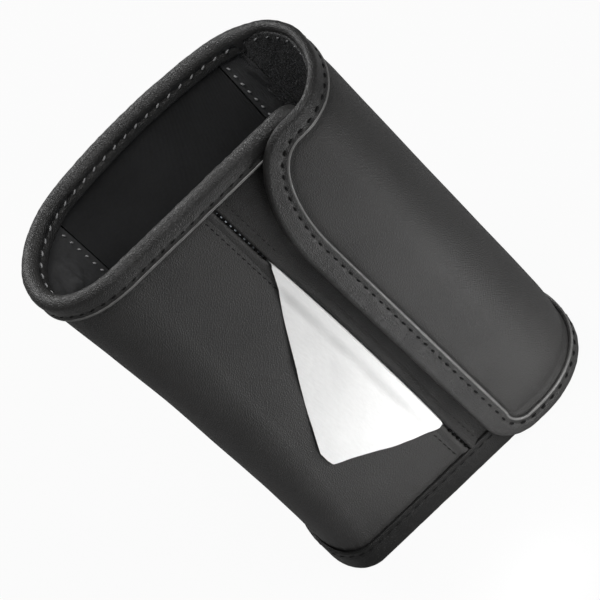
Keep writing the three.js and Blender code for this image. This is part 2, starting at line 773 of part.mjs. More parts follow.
const pouch = new THREE.Group();
pouch.add(
  named('outer_cover', outerCoverGeometry, leather),
  named('slit_panel', slitPanelGeometry, leather),
  named('slit_lip_left', slitLipLeftGeometry, leather),
  named('slit_lip_right', slitLipRightGeometry, leather),
  named('board_back', boardBackGeometry, greyBoard),
  named('board_front_left', boardFrontLeftGeometry, greyBoard),
  named('board_front_right', boardFrontRightGeometry, greyBoard),
  named('lining_back', liningBackGeometry, cloth),
  named('lining_hinge_strip', liningHingeStripGeometry, cloth),
  named('lining_left_end', liningLeftEndGeometry, cloth),
  named('lining_front_left', liningFrontLeftGeometry, cloth),
  named('lining_front_right', liningFrontRightGeometry, cloth),
  named('mouth_binding', mouthBindingGeometry, tape),
  named('base_binding', baseBindingGeometry, tape),
  named('base_end_binding', baseEndBindingGeometry, tape),
  named('base_cover', baseCoverGeometry, leather),
  named('base_board', baseBoardGeometry, greyBoard),
  named('base_lining', baseLiningGeometry, cloth),
  named('hook_tape_upper', hookTapeGeometry(hookTapeHighZ), pile),
  named('hook_tape_lower', hookTapeGeometry(hookTapeLowZ), pile),
);

const flap = new THREE.Group();
flap.add(
  named('flap_cover', flapCoverGeometry, leather),
  named('flap_board', flapBoardGeometry, greyBoard),
  named('flap_loop_lining', pileGeometry, pile),
  named('flap_binding', flapBindingGeometry, tape),
);

const refill = new THREE.Group();
refill.add(
  named('tissue_wrapper', wrapperGeometry, film),
  named('tissue_stack', stackGeometry, paper),
  named('tissue_sheet', tissueGeometry(), paper),
);

const holder = new THREE.Group();
holder.add(pouch, flap, refill);

export default holder;
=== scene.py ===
# Car tissue holder: a black leather-look pouch, open at the top, with a slit in the front that a tissue hangs
# out of and a wrap-over flap that closes its right end. Lengths of the pieces are in millimetres until their
# meshes are made. X runs to the right along the front, Y to the back, Z up.
import bisect
import math

import bmesh
import bpy
from mathutils import Matrix, Vector, noise


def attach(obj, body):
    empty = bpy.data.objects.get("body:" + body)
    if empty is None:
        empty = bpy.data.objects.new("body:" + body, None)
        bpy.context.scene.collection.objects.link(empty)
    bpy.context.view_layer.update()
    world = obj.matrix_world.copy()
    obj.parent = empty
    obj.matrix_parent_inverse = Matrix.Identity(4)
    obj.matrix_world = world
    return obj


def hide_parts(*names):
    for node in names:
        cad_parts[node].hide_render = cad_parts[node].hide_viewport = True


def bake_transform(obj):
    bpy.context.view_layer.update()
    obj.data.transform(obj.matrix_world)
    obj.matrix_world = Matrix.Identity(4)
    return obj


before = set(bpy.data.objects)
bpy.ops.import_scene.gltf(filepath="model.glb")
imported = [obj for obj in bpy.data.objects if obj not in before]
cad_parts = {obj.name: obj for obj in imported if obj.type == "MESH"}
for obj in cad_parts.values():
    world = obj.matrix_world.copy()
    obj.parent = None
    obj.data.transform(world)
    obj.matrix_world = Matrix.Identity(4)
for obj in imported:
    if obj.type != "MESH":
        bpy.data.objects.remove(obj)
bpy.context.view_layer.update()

# The camera looks down at the front by 40 degrees, from a little to the right, through a long lens. It is
# rolled, so the holder leans over to the left in the picture.
camera_place = Vector((0.101053, -1.141852, 1.067464))
camera_right = Vector((0.71956249, -0.40808495, -0.56186876))
camera_up = Vector((0.69096599, 0.50143635, 0.52069914))
camera_lens = 231.24
camera_back = camera_right.cross(camera_up)
camera_data = bpy.data.cameras.new("camera")
camera_data.sensor_width = 36
camera_data.lens = camera_lens
camera = bpy.data.objects.new("camera", camera_data)
camera_turn = Matrix((camera_right, camera_up, camera_back)).transposed()
camera.matrix_world = Matrix.Translation(camera_place) @ camera_turn.to_4x4()
bpy.context.scene.collection.objects.link(camera)
bpy.context.scene.camera = camera
bpy.context.scene.view_settings.view_transform = "Standard"


# Studio: the camera sees floor and surround as almost plain white, with a faint shadow. Three large soft
# lamps light the holder, and three small round ones close in front give the leather its sheen. Reflections
# see only a tenth of the white, so that leather that turns away from the camera stays dark.
class Shade:
    """A value, colour or vector among the nodes of a finish. Sums and products of values add Math nodes."""

    def __init__(self, finish, socket):
        self.finish = finish
        self.socket = socket

    def __add__(self, other):
        return self.finish.maths("ADD", self, other)

    def __sub__(self, other):
        return self.finish.maths("SUBTRACT", self, other)

    def __rsub__(self, other):
        return self.finish.maths("SUBTRACT", other, self)

    def __mul__(self, other):
        return self.finish.maths("MULTIPLY", self, other)

    __radd__ = __add__
    __rmul__ = __mul__


class Nodes:
    """A node tree, and what is put into it."""

    def __init__(self, tree):
        self.tree = tree

    def feed(self, socket, value):
        if isinstance(value, Shade):
            self.tree.links.new(value.socket, socket)
        else:
            socket.default_value = value

    def node(self, kind, settings, sockets, output=0):
        made = self.tree.nodes.new("ShaderNode" + kind)
        for setting, value in settings.items():
            setattr(made, setting, value)
        for socket, value in sockets.items():
            self.feed(made.inputs[socket], value)
        return Shade(self, made.outputs[output])

    def maths(self, operation, first, second):
        return self.node("Math", {"operation": operation}, {0: first, 1: second})

    def white_to(self, gloss_share):
        """Where the white backdrop shows: to the camera, through glass, and for a share in reflections."""
        camera, glass, gloss = (self.node("LightPath", {}, {}, "Is " + kind + " Ray")
                                for kind in ("Camera", "Transmission", "Glossy"))
        return self.maths("MINIMUM", camera + glass + gloss * gloss_share, 1.0)


class Finish(Nodes):
    """A material, its shader, and the nodes that vary it over the surface."""

    def __init__(self, name, constants):
        self.material = bpy.data.materials.new(name)
        self.material.use_nodes = True
        super().__init__(self.material.node_tree)
        self.shader = self.tree.nodes["Principled BSDF"]
        for socket, value in constants.items():
            self.feed(self.shader.inputs[socket], value)

    def between(self, value, low, high):
        """A soft step from 0 to 1, as the value goes from low to high."""
        sockets = {0: value, 1: low, 2: high, 3: 0.0, 4: 1.0}
        return self.node("MapRange", {"interpolation_type": "SMOOTHSTEP"}, sockets)

    def place(self):
        return self.node("TexCoord", {}, {}, "Object")

    def mottle(self, size, detail=2.0, place=None):
        sockets = {"Vector": place or self.place(), "Scale": 1 / size, "Detail": detail}
        return self.node("TexNoise", {}, sockets)

    def use(self, socket, value):
        self.feed(self.shader.inputs[socket], value)

    def paint(self, share, dark, light):
        sockets = {0: share, 6: (*dark, 1.0), 7: (*light, 1.0)}
        self.use("Base Color", self.node("Mix", {"data_type": "RGBA"}, sockets, 2))

    def emboss(self, height, depth):
        self.use("Normal", self.node("Bump", {}, {"Height": height, "Distance": depth, "Strength": 1.0}))


floor_half = 4.0
floor_pale = (0.4, 0.4, 0.4, 1.0)
floor_glow_share = 0.95
surround_light = 0.04
reflected_share = 0.1

floor_mesh = bpy.data.meshes.new("floor")
floor_corners = [(x * floor_half, y * floor_half, 0) for x, y in ((-1, -1), (1, -1), (1, 1), (-1, 1))]
floor_mesh.from_pydata(floor_corners, [], [(0, 1, 2, 3)])
floor = bpy.data.objects.new("floor", floor_mesh)
bpy.context.scene.collection.objects.link(floor)
floor_finish = Finish("floor", {"Base Color": floor_pale, "Roughness": 0.9, "Specular IOR Level": 0.0})
floor_mesh.materials.append(floor_finish.material)
floor_glow = floor_finish.node("Emission", {}, {"Color": (1, 1, 1, 1), "Strength": 1.0})
floor_bare = Shade(floor_finish, floor_finish.shader.outputs[0])
floor_share = floor_finish.white_to(reflected_share) * floor_glow_share
floor_mix = floor_finish.node("MixShader", {}, {0: floor_share, 1: floor_bare, 2: floor_glow})
floor_finish.feed(floor_finish.tree.nodes["Material Output"].inputs["Surface"], floor_mix)

surround = bpy.data.worlds.new("surround")
surround.use_nodes = True
bpy.context.scene.world = surround
surround_nodes = Nodes(surround.node_tree)
backdrop = surround.node_tree.nodes["Background"]
backdrop.inputs["Color"].default_value = (1, 1, 1, 1)
surround_strength = surround_nodes.maths("MAXIMUM", surround_nodes.white_to(reflected_share), surround_light)
surround_nodes.feed(backdrop.inputs["Strength"], surround_strength)

holder_middle = Vector((0, 0, 0.1))
for lamp_name, lamp_kind, lamp_place, lamp_size, lamp_power in (
        ("key_lamp", "AREA", (0.758, -0.758, 1.0), 0.5, 5.0),
        ("top_lamp", "AREA", (0.07, -0.38, 1.446), 0.5, 8.0),
        ("front_lamp", "POINT", (-0.01, -0.10, 0.02), 0.02, 0.11),
        ("flap_lamp", "POINT", (0.09, -0.12, 0.025), 0.02, 0.25),
        ("floor_lamp", "POINT", (0.12, -0.24, 0.05), 0.05, 0.22),
        ("back_lamp", "AREA", (-0.2, 1.103, 0.962), 0.5, 9.0),
):
    lamp_data = bpy.data.lights.new(lamp_name, lamp_kind)
    if lamp_kind == "AREA":
        lamp_data.shape = "SQUARE"
        lamp_data.size = lamp_size
    else:
        lamp_data.shadow_soft_size = lamp_size
    lamp_data.energy = lamp_power
    lamp = bpy.data.objects.new(lamp_name, lamp_data)
    lamp.location = lamp_place
    lamp.rotation_euler = (Vector(lamp_place) - holder_middle).to_track_quat("Z", "Y").to_euler()
    lamp.visible_camera = False
    bpy.context.scene.collection.objects.link(lamp)


# Pouch cover: one sheet of black leather-look vinyl from the slit, round the left end, to the hinge line at
# the back, and a second sheet from the slit to where the flap lies over it. Both are glued and sewn over
# board, so they are firm, but they swell a little between their seams and pucker beside the bindings.
pouch_height = 200.0
waist_half_width = 66.1
waist_height = 90.0
mouth_flare = 3.5
flap_base_half_width = 65.2
flap_mouth_half_width = 69.5
front_depth = 28.0
back_depth = 28.0
mouth_bulge = 12.7
base_corner = 16.0
mouth_corner = 32.5
flap_base_corner = 32.0
flap_mouth_corner = 23.0
flap_inset = 5.4
panel_reach = 5.0
corner_power = 2.2
slit_x = 2.5
hinge_x = 52.0
layer_gap = 0.3
cover_thickness = 1.2
panel_corner_steps = 2
right_steps = 2
front_steps = 4
corner_steps = 9
back_steps = 10
panel_flat_station = -right_steps
panel_end_station = -right_steps - panel_corner_steps
left_corner_station = front_steps
left_nose_station = left_corner_station + corner_steps
back_station = left_nose_station + corner_steps
MM = 0.001


def clamped(value):
    return min(1.0, max(0.0, value))


def eased(value):
    """From 0 to 1 as the value does, with a soft start and a soft end."""
    share = clamped(value)
    return share * share * (3 - 2 * share)


def spread(low, high, count):
    return [low + (high - low) * i / count for i in range(count + 1)]


def walk(points):
    """How far each point of a line lies from its start, along it."""
    walked = [0.0]
    for here, there in zip(points, points[1:]):
        walked.append(walked[-1] + math.dist(here, there))
    return walked


def find(walked, distance):
    """The leg of a walk that a distance falls in, by the number of its last point, and the share of it."""
    i = min(max(bisect.bisect_left(walked, distance), 1), len(walked) - 1)
    return i, (distance - walked[i - 1]) / max(1e-6, walked[i] - walked[i - 1])


def lumps(x, y, z):
    return noise.noise(Vector((x, y, z)))


def corner_length(z):
    return base_corner + (mouth_corner - base_corner) * (z / pouch_height)


def quarter(turn):
    angle = clamped(turn) * math.pi / 2
    return max(0.0, math.cos(angle)) ** (2 / corner_power), math.sin(angle) ** (2 / corner_power)


def left_half(z):
    return waist_half_width + mouth_flare * ((z - waist_height) / (pouch_height - waist_height)) ** 2


def right_half(z):
    return flap_base_half_width + (flap_mouth_half_width - flap_base_half_width) * (z / pouch_height)


def flap_corner(z):
    return flap_base_corner + (flap_mouth_corner - flap_base_corner) * (z / pouch_height)


def round_share(over):
    return max(0.0, 1 - max(0.0, over) ** corner_power) ** (1 / corner_power)


def back_bulge(x, z):
    half = left_half(z) if x < 0 else right_half(z)
    return mouth_bulge * (z / pouch_height) * (1 - (x / half) ** 2)


def back_y(x, z):
    flat = (left_half(z) if x < 0 else right_half(z)) - corner_length(z)
    return back_depth * round_share((abs(x) - flat) / corner_length(z)) + back_bulge(x, z)


def panel_flat(z):
    return right_half(z) - flap_corner(z)


def wall_plan(station, z):
    corner = corner_length(z)
    flat = left_half(z) - corner
    if station < panel_flat_station:
        reach = panel_reach * (panel_flat_station - station) / panel_corner_steps
        return panel_flat(z) + reach, -front_depth * round_share(reach / (flap_corner(z) - flap_inset))
    if station < 0:
        return slit_x - (panel_flat(z) - slit_x) * station / right_steps, -front_depth
    if station <= left_corner_station:
        return slit_x - (slit_x + flat) * station / front_steps, -front_depth
    if station <= left_nose_station:
        along, across = quarter((station - left_corner_station) / corner_steps)
        return -flat - corner * across, -front_depth * along
    if station <= back_station:
        along, across = quarter((station - left_nose_station) / corner_steps)
        x = -flat - corner * along
        return x, back_depth * across + back_bulge(x, z)
    x = -flat + (hinge_x + flat) * (station - back_station) / back_steps
    return x, back_y(x, z)


def wall_normal(station, z):
    reach = 1 / corner_steps
    before = wall_plan(station - reach, z)
    after = wall_plan(station + reach, z)
    return Vector((before[1] - after[1], after[0] - before[0], 0)).normalized()


def wall_point(station, z, depth):
    x, y = wall_plan(station, z)
    return Vector((x, y, z)) - wall_normal(station, z) * depth


def front_station(x, z=pouch_height / 2):
    if x > slit_x:
        return -(x - slit_x) * right_steps / (panel_flat(z) - slit_x)
    return (slit_x - x) * front_steps / (slit_x + left_half(z) - corner_length(z))


def back_station_at(x, z):
    flat = left_half(z) - corner_length(z)
    return back_station + back_steps * (x + flat) / (hinge_x + flat)


def even_stations(start, end, pitch, z=pouch_height / 2):
    """Stations that lie about a pitch apart along the wall, and how far each is from the first."""
    fine = spread(start, end, 600)
    walked = walk([wall_plan(station, z) for station in fine])
    stations = []
    for length in spread(0.0, walked[-1], max(1, round(walked[-1] / pitch))):
        i, share = find(walked, length)
        stations.append((fine[i - 1] + (fine[i] - fine[i - 1]) * share, length))
    return stations


def shell(outside, inside, keep=lambda i, j: True, ring=False):
    """Points and faces of a sheet with two skins, closed along every edge. A ring joins its last column to
    its first. A cell that isn't kept is left open through the sheet."""
    rows, columns = len(outside), len(outside[0])
    points = [p for row in outside for p in row] + [p for row in inside for p in row]
    span = columns if ring else columns - 1
    kept = {(i, j) for i in range(rows - 1) for j in range(span) if keep(i, j)}
    faces = []
    for i, j in sorted(kept):
        k = (j + 1) % columns
        corners = [i * columns + j, (i + 1) * columns + j, (i + 1) * columns + k, i * columns + k]
        faces.append(corners)
        faces.append([c + rows * columns for c in reversed(corners)])
        left = (i, (j - 1) % span if ring else j - 1)
        right = (i, (j + 1) % span if ring else j + 1)
        for beside, a, b in (((i - 1, j), 3, 0), ((i + 1, j), 1, 2), (left, 0, 1), (right, 2, 3)):
            if beside not in kept:
                p, q = corners[a], corners[b]
                faces.append([q, p, p + rows * columns, q + rows * columns])
    return points, faces


def swept(rings):
    """Points and faces of a strip whose section is given as a ring of points at each stop."""
    count = len(rings[0])
    points = [p for ring in rings for p in ring]
    faces = []
    for i in range(len(rings) - 1):
        for j in range(count):
            k = (j + 1) % count
            faces.append([i * count + j, i * count + k, (i + 1) * count + k, (i + 1) * count + j])
    faces.append([len(points) - count + j for j in range(count)])
    faces.append([j for j in reversed(range(count))])
    return points, faces


def piece(name, form, finish, body, replaced=(), crease=50):
    points, faces = form
    mesh = bpy.data.meshes.new(name)
    mesh.from_pydata([Vector(p) * MM for p in points], [], faces)
    work = bmesh.new()
    work.from_mesh(mesh)
    loose = [vertex for vertex in work.verts if not vertex.link_faces]
    bmesh.ops.delete(work, geom=loose, context="VERTS")
    bmesh.ops.recalc_face_normals(work, faces=work.faces)
    work.to_mesh(mesh)
    work.free()
    mesh.polygons.foreach_set("use_smooth", [True] * len(mesh.polygons))
    mesh.set_sharp_from_angle(angle=math.radians(crease))
    mesh.materials.append(finish.material)
    made = bpy.data.objects.new(name, mesh)
    bpy.context.scene.collection.objects.link(made)
    if body:
        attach(made, body)
    if replaced:
        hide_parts(*replaced)
    return made


def rumple(point, size, amount, seed=0.0):
    return amount * noise.noise(Vector(point) / size + Vector((seed, seed, seed)))


leather_black = (0.023, 0.0225, 0.022)
leather_worn = (0.036, 0.0352, 0.0344)
grain_cell = 0.0009
grain_depth = 0.00011
pebble_edge = 0.35
leather_cloud = 0.045


def leather_like(name, dark, light, roughness, depth=grain_depth, shine=0.5):
    finish = Finish(name, {"Specular IOR Level": shine})
    place = finish.place()
    drift = finish.node("TexNoise", {}, {"Vector": place, "Scale": 0.5 / grain_cell, "Detail": 1.0}, 1)
    drifted = {0: drift, 1: (grain_cell,) * 3, 2: place}
    moved = finish.node("VectorMath", {"operation": "MULTIPLY_ADD"}, drifted)
    sockets = {"Vector": moved, "Scale": 1 / grain_cell}
    cells = finish.node("TexVoronoi", {"feature": "DISTANCE_TO_EDGE"}, sockets)
    pebble = finish.between(cells, 0.0, pebble_edge)
    finish.emboss(pebble + finish.mottle(grain_cell / 3) * 0.3, depth)
    cloud = finish.mottle(leather_cloud, 3.0)
    finish.paint(finish.between(cloud, 0.3, 0.7), dark, light)
    finish.use("Roughness", roughness + 0.1 * cloud + 0.06 * (1 - pebble))
    return finish


leather = leather_like("black_leather", leather_black, leather_worn, 0.5)
panel_grain = 0.00017
panel_black = (0.013, 0.0127, 0.0125)
panel_worn = (0.032, 0.0313, 0.0307)
panel_leather = leather_like("panel_leather", panel_black, panel_worn, 0.5, panel_grain, 0.3)

stitch_pitch = 5.0
band_top_z = 190.0
band_base_z = 12.5
cover_foot = 1.5
cover_head = 196.4
pucker_height = 0.13
pucker_reach = 4.0
cover_swell = 0.45
left_end_swell = 0.15
seam_groove = 0.35
seam_groove_reach = 1.1


def dip(distance, reach):
    """The share of a groove's depth that is left at a distance from its middle."""
    return math.exp(-(distance / reach) ** 2)


def pucker(distance, length):
    """The small waves beside a seam, one to a stitch."""
    return pucker_height * math.exp(-distance / pucker_reach) * math.cos(math.tau * length / stitch_pitch)


def cover_rise(station, length, z, swell=0.0):
    """How far the cover stands out of its true surface, with its swell, grooves, puckers and dents."""
    up = clamped((z - band_base_z) / (band_top_z - band_base_z))
    rise = swell * math.sin(math.pi * up) ** 0.6
    for seam in (band_top_z, band_base_z):
        rise -= seam_groove * dip(z - seam, seam_groove_reach)
        rise += pucker(abs(z - seam), length)
    x, y = wall_plan(station, z)
    return rise + rumple((x, y, z), 34.0, 0.35) + rumple((x, y, z), 11.0, 0.06, 3.0)


def wall_sheet(start_at, end_at, foot, head, levels, pitch, depth, thickness, rise_at):
    """A layer of the wall. Its two ends may vary with height, and rise_at says how far it stands out."""
    middle = pouch_height / 2
    start, end = start_at(middle), end_at(middle)
    outside, inside = [], []
    for station, length in even_stations(start, end, pitch):
        share = (station - start) / (end - start)
        outside.append([])
        inside.append([])
        for z in spread(foot, head, levels):
            here = start_at(z) + (end_at(z) - start_at(z)) * share
            rise = rise_at(here, length, z)
            outside[-1].append(wall_point(here, z, depth - rise))
            inside[-1].append(wall_point(here, z, depth + thickness - rise))
    return shell(outside, inside)


def left_rise(station, length, z):
    if station > left_corner_station:
        return cover_rise(station, length, z, left_end_swell)
    across = 0.1 + 0.9 * station / left_corner_station
    return cover_rise(station, length, z, cover_swell * math.sin(math.pi * across))


def hinge_edge(z):
    return back_station_at(hinge_x - layer_gap / 2, z)


def panel_end(z):
    return panel_end_station


def front_edge(x):
    return lambda z: front_station(x, z)


cover_slit_edge = 2.0
cover_size = {"foot": cover_foot, "head": cover_head, "levels": 130, "pitch": 1.3, "depth": 0.0,
              "thickness": cover_thickness}
cover_form = wall_sheet(front_edge(slit_x - cover_slit_edge), hinge_edge, rise_at=left_rise, **cover_size)
piece("cover", cover_form, leather, "pouch", ["outer_cover"])
panel_form = wall_sheet(panel_end, front_edge(slit_x + cover_slit_edge), rise_at=cover_rise, **cover_size)
piece("cover_right", panel_form, panel_leather, "pouch", ["slit_panel"])


# Slit: each edge of the cover is folded back into a soft roll. The rolls meet above and below, where black
# thread ties them shut, and gape between, where the tissue comes out. A row of top stitches holds each fold.
slit_bottom = 33.0
slit_top = 153.0
lip_width = 5.6
lip_crest = 0.25
lip_sunk = 0.35
lip_gap = 0.15
lip_gape = 1.5
tie_pitch = 3.0
tie_pull = 0.01


def lip_offset(z):
    share = (z - slit_bottom) / (slit_top - slit_bottom)
    return lip_gap + (lip_gape * math.sqrt(math.sin(math.pi * share)) if 0 < share < 1 else 0.0)


def slit_lip(side, height):
    rings = []
    for z in spread(band_base_z + layer_gap, band_top_z - layer_gap, 170):
        tied = 0.0 if slit_bottom <= z <= slit_top else tie_pull * math.cos(math.tau * z / tie_pitch)
        ring = []
        for angle in spread(0.0, math.pi, 14):
            share = (1 - math.cos(angle)) / 2
            if share < lip_crest:
                form = math.sqrt(1 - (1 - share / lip_crest) ** 2)
            else:
                form = 1 - eased((share - lip_crest) / (1 - lip_crest))
            rise = (height + lip_sunk - tied) * form - lip_sunk
            rise += rumple((share * 13, side * 5, z), 5.0, 0.12)
            across = lip_offset(z) + lip_width * share
            ring.append(Vector((slit_x + side * across, -front_depth - rise, z)))
        rings.append(ring)
    return swept(rings)


left_lip_height = 0.8
right_lip_height = 1.7
piece("slit_edge_left", slit_lip(-1, left_lip_height), leather, "pouch", ["slit_lip_left"])
piece("slit_edge_right", slit_lip(1, right_lip_height), panel_leather, "pouch", ["slit_lip_right"])

thread_lay = 0.0004
thread_ridge = 0.00005


def thread(name, dark, light, roughness, shine):
    finish = Finish(name, {"Roughness": roughness, "Specular IOR Level": shine})
    lay = finish.mottle(thread_lay, 1.0)
    finish.paint(lay, dark, light)
    finish.emboss(lay, thread_ridge)
    return finish


thread_black = thread("black_thread", (0.002, 0.002, 0.002), (0.007, 0.007, 0.007), roughness=0.75, shine=0.2)


def joined(*forms):
    points, faces = [], []
    for form_points, form_faces in forms:
        faces += [[k + len(points) for k in face] for face in form_faces]
        points += form_points
    return points, faces


def circle(centre, side, out, radius, sides):
    turns = [i * math.tau / sides for i in range(sides)]
    return [centre + (side * math.cos(turn) + out * math.sin(turn)) * radius for turn in turns]


thread_sunk = 0.05
thread_end_size = 0.12
row_end_clearance = 0.01


def stitches(path, pitch, length, radius, rise, lean=0.12):
    """Short bowed threads, one to a pitch, along a path of (point, outward direction)."""
    walked = walk([spot for spot, _ in path])

    def at(distance):
        i, share = find(walked, distance)
        return path[i - 1][0].lerp(path[i][0], share), path[i - 1][1].lerp(path[i][1], share).normalized()

    threads = []
    for k in range(int((walked[-1] - row_end_clearance) / pitch)):
        middle = (k + 0.5) * pitch
        centre, out = at(middle)
        run = (at(middle + length / 2)[0] - at(middle - length / 2)[0]).normalized()
        side = out.cross(run).normalized()
        rings = []
        for u in spread(-1.0, 1.0, 5):
            spot = centre + (run + side * lean) * (u * length / 2) + out * (rise * (1 - u * u) - thread_sunk)
            rings.append(circle(spot, side, out, radius * math.sqrt(max(thread_end_size, 1 - u ** 4)), 6))
        threads.append(swept(rings))
    return joined(*threads)


def front_line(x, low, high, proud):
    return [(Vector((x, -front_depth - proud, z)), Vector((0, -1, 0))) for z in spread(low, high, 40)]


seam_top = (slit_top + 2, band_top_z - 1)
seam_foot = (band_base_z + 1.5, slit_bottom - 1)
seam_thread = {"pitch": tie_pitch, "length": 1.75, "radius": 0.62, "rise": 0.1}
seam_proud = 1.1
seam_matt = thread("seam_thread", (0.0015, 0.0015, 0.0015), (0.004, 0.004, 0.004), roughness=0.95, shine=0.1)
seam_threads = joined(*(stitches(front_line(slit_x, low, high, seam_proud), **seam_thread)
                        for low, high in (seam_top, seam_foot)))
piece("slit_seam_threads", seam_threads, seam_matt, "pouch")
top_thread = {"pitch": 3.4, "length": 2.1, "radius": 0.2, "rise": 0.08}
top_rows = joined(*(stitches(front_line(x, band_base_z + 2, band_top_z - 1, proud), **top_thread)
                    for x, proud in ((-3.1, 0.2), (7.1, -0.02))))
piece("slit_top_stitches", top_rows, thread_black, "pouch")


# Mouth binding: leather-look tape folded over the top edge of the wall, padded to a soft roll and sewn
# through. Its outer edge lies on the cover and its inner edge on the lining. It gathers in small folds.
wall_thickness = 4.2
tape_proud = 1.5
tape_thickness = 1.2
mouth_inner_z = 191.0
mouth_crown = 3.0
mouth_inner_face = wall_thickness + tape_proud
tape_black = (0.013, 0.0128, 0.0126)
tape_worn = (0.034, 0.0333, 0.0326)
tape_grain = 0.00012
tape = leather_like("tape_leather", tape_black, tape_worn, 0.36, tape_grain, 0.45)
fold_size = 2.4
wave_size = 9.0
fold_width = 9.0
tape_stop = 0.9
dent_reach = 0.9
dent_mean = 0.72
hem_round = 0.5
crown_ease = 0.7


def gathered(walked, around, size, amount, seed):
    """Height of the small folds that run across a tape: long across it and short along it."""
    return amount * lumps(walked / size, around / fold_width, seed)


def dent(distance, length, pitch):
    """How hard a row of stitches pulls a tape down: most on its line, at the holes between the stitches."""
    at_hole = math.cos(math.tau * length / pitch)
    return (dent_mean + (1 - dent_mean) * at_hole) * dip(distance, dent_reach)


def mouth_profile():
    """The tape's section as (depth below the cover, height, outward direction), out, over and back inside."""
    base = pouch_height - mouth_crown
    half = (mouth_inner_face + tape_proud) / 2
    middle = (mouth_inner_face - tape_proud) / 2
    outer = [(-tape_proud, z, (-1, 0)) for z in spread(band_top_z + hem_round, base - crown_ease, 9)]
    crown = [(middle - half * math.cos(a), base + mouth_crown * math.sin(a), (-math.cos(a), math.sin(a)))
             for a in spread(0.0, math.pi, 14)]
    inner = [(mouth_inner_face, z, (1, 0)) for z in spread(base - crown_ease, mouth_inner_z + hem_round, 9)]
    hidden_depth = wall_thickness + layer_gap
    hem = tape_thickness / 4
    outer_hem = [(-layer_gap, band_top_z, None), (-tape_proud + hem, band_top_z, None)]
    inner_hem = [(mouth_inner_face - hem, mouth_inner_z, None), (hidden_depth, mouth_inner_z, None)]
    under = [(hidden_depth, base - layer_gap, None), (-layer_gap, base - layer_gap, None)]
    return outer_hem + outer + crown + inner + inner_hem + under


mouth_end_drop = 3.2
mouth_end_reach = 9.0
inner_looseness = 1.6


def wall_tape(profile, seed, fold, stitch_rows, z_ref, end):
    """A tape along the wall. Its stitch rows are (depth, height, pitch, how deep they sink)."""
    rings = []
    stops = even_stations(panel_end_station, end, tape_stop, z_ref)
    section = walk([(depth, z) for depth, z, _ in profile])
    row_walks = [walk([wall_point(station, row_z, row_depth) for station, _ in stops])
                 for row_depth, row_z, _, _ in stitch_rows]
    for i, (station, walked) in enumerate(stops):
        ring = []
        for (depth, z, outward), around in zip(profile, section):
            if outward:
                loose = inner_looseness if outward[0] > 0.5 else 1.0
                rise = gathered(walked, around, fold_size, fold * loose, seed)
                rise += gathered(walked, around, wave_size, fold, seed + 4)
                for (row_depth, row_z, pitch, sink), row_walk in zip(stitch_rows, row_walks):
                    rise -= sink * dent(math.hypot(depth - row_depth, z - row_z), row_walk[i], pitch)
                depth += outward[0] * rise
                z += outward[1] * rise
            over = max(0.0, z - band_top_z) / (pouch_height - band_top_z)
            drop = mouth_end_drop * over * max(0.0, 1 - walked / mouth_end_reach) ** 2
            ring.append(wall_point(station, z - drop, depth))
        rings.append(ring)
    return swept(rings)


def wall_line(z, depth, outward=1):
    return [(wall_point(station, z, depth), wall_normal(station, z) * outward)
            for station, _ in even_stations(panel_end_station, hinge_edge(z), 1.0, z)]


mouth_stitch_z = 192.6
mouth_inner_stitch_z = 195.0
inner_pitch = 5.7
mouth_rows = [(-tape_proud, mouth_stitch_z, stitch_pitch, 0.6),
              (mouth_inner_face, mouth_inner_stitch_z, inner_pitch, 0.75)]
mouth_form = wall_tape(mouth_profile(), 1.0, 0.13, mouth_rows, pouch_height,
                       back_station_at(hinge_x, pouch_height))
piece("mouth_tape", mouth_form, tape, "pouch", ["mouth_binding"])
outer_row = stitches(wall_line(mouth_stitch_z, -tape_proud + 0.35), stitch_pitch,
                     length=2.2, radius=0.32, rise=0.2)
piece("mouth_outer_stitches", outer_row, thread_black, "pouch")

# The thread is grey, but painted far lighter than its own grey: a painted highlight for the bright spots of
# the stitches.
thread_grey_highlit = thread("grey_thread_painted_highlight", (0.16, 0.16, 0.162), (0.46, 0.46, 0.465), roughness=0.6, shine=0.3)
inner_row = stitches(wall_line(mouth_inner_stitch_z, mouth_inner_face - 0.2, -1), inner_pitch,
                     length=2.0, radius=0.4, rise=0.2, lean=0.4)
piece("mouth_inner_stitches", inner_row, thread_grey_highlit, "pouch")

# The tape's turned edge is painted far lighter than the tape: a painted highlight for the bright line that
# the rim catches.
painted_edge_highlight = Finish("tape_edge_painted_highlight", {"Roughness": 0.34, "Specular IOR Level": 0.5})
painted_edge_highlight.paint(painted_edge_highlight.mottle(0.004, 3.0), (0.07, 0.07, 0.069), (0.22, 0.217, 0.213))
painted_edge_highlight.emboss(painted_edge_highlight.mottle(0.0006), 0.00004)
hem_radius = 0.6
hem_sunk = 0.25


def bead(path):
    """The tape's turned edge: a thin round rim along a path of (point, outward direction)."""
    rings = []
    for k, (spot, out) in enumerate(path):
        run = (path[min(k + 1, len(path) - 1)][0] - path[max(k - 1, 0)][0]).normalized()
        rings.append(circle(spot, out.cross(run).normalized(), out, hem_radius, 10))
    return swept(rings)


mouth_edge = bead(wall_line(band_top_z + hem_radius, -tape_proud + hem_sunk))
piece("mouth_tape_edge", mouth_edge, painted_edge_highlight, "pouch")


# Base: a stack of cover, board and lining cut to one outline, with tape folded round the foot of the wall and
# sewn to it. The right end, which only the flap covers, has a low tape of its own.
base_band_round = 3.0
base_under_leg = 6.5
base_ease = 0.6
base_cover_thickness = 1.2


def base_profile():
    turn = base_band_round - tape_proud
    heights = spread(band_base_z - hem_round, base_band_round + base_ease, 10)
    side = [(-tape_proud, z, (-1, 0)) for z in heights]
    bend = [(turn - base_band_round * math.cos(a), base_band_round * (1 - math.sin(a)), (-math.cos(a), 0))
            for a in spread(0.0, math.pi / 2, 8)]
    hem = [(-layer_gap, band_base_z, None), (-tape_proud + tape_thickness / 4, band_base_z, None)]
    under = [(base_under_leg, 0.0, None), (base_under_leg, base_cover_thickness, None),
             (-layer_gap, base_cover_thickness, None)]
    return hem + side + bend + under


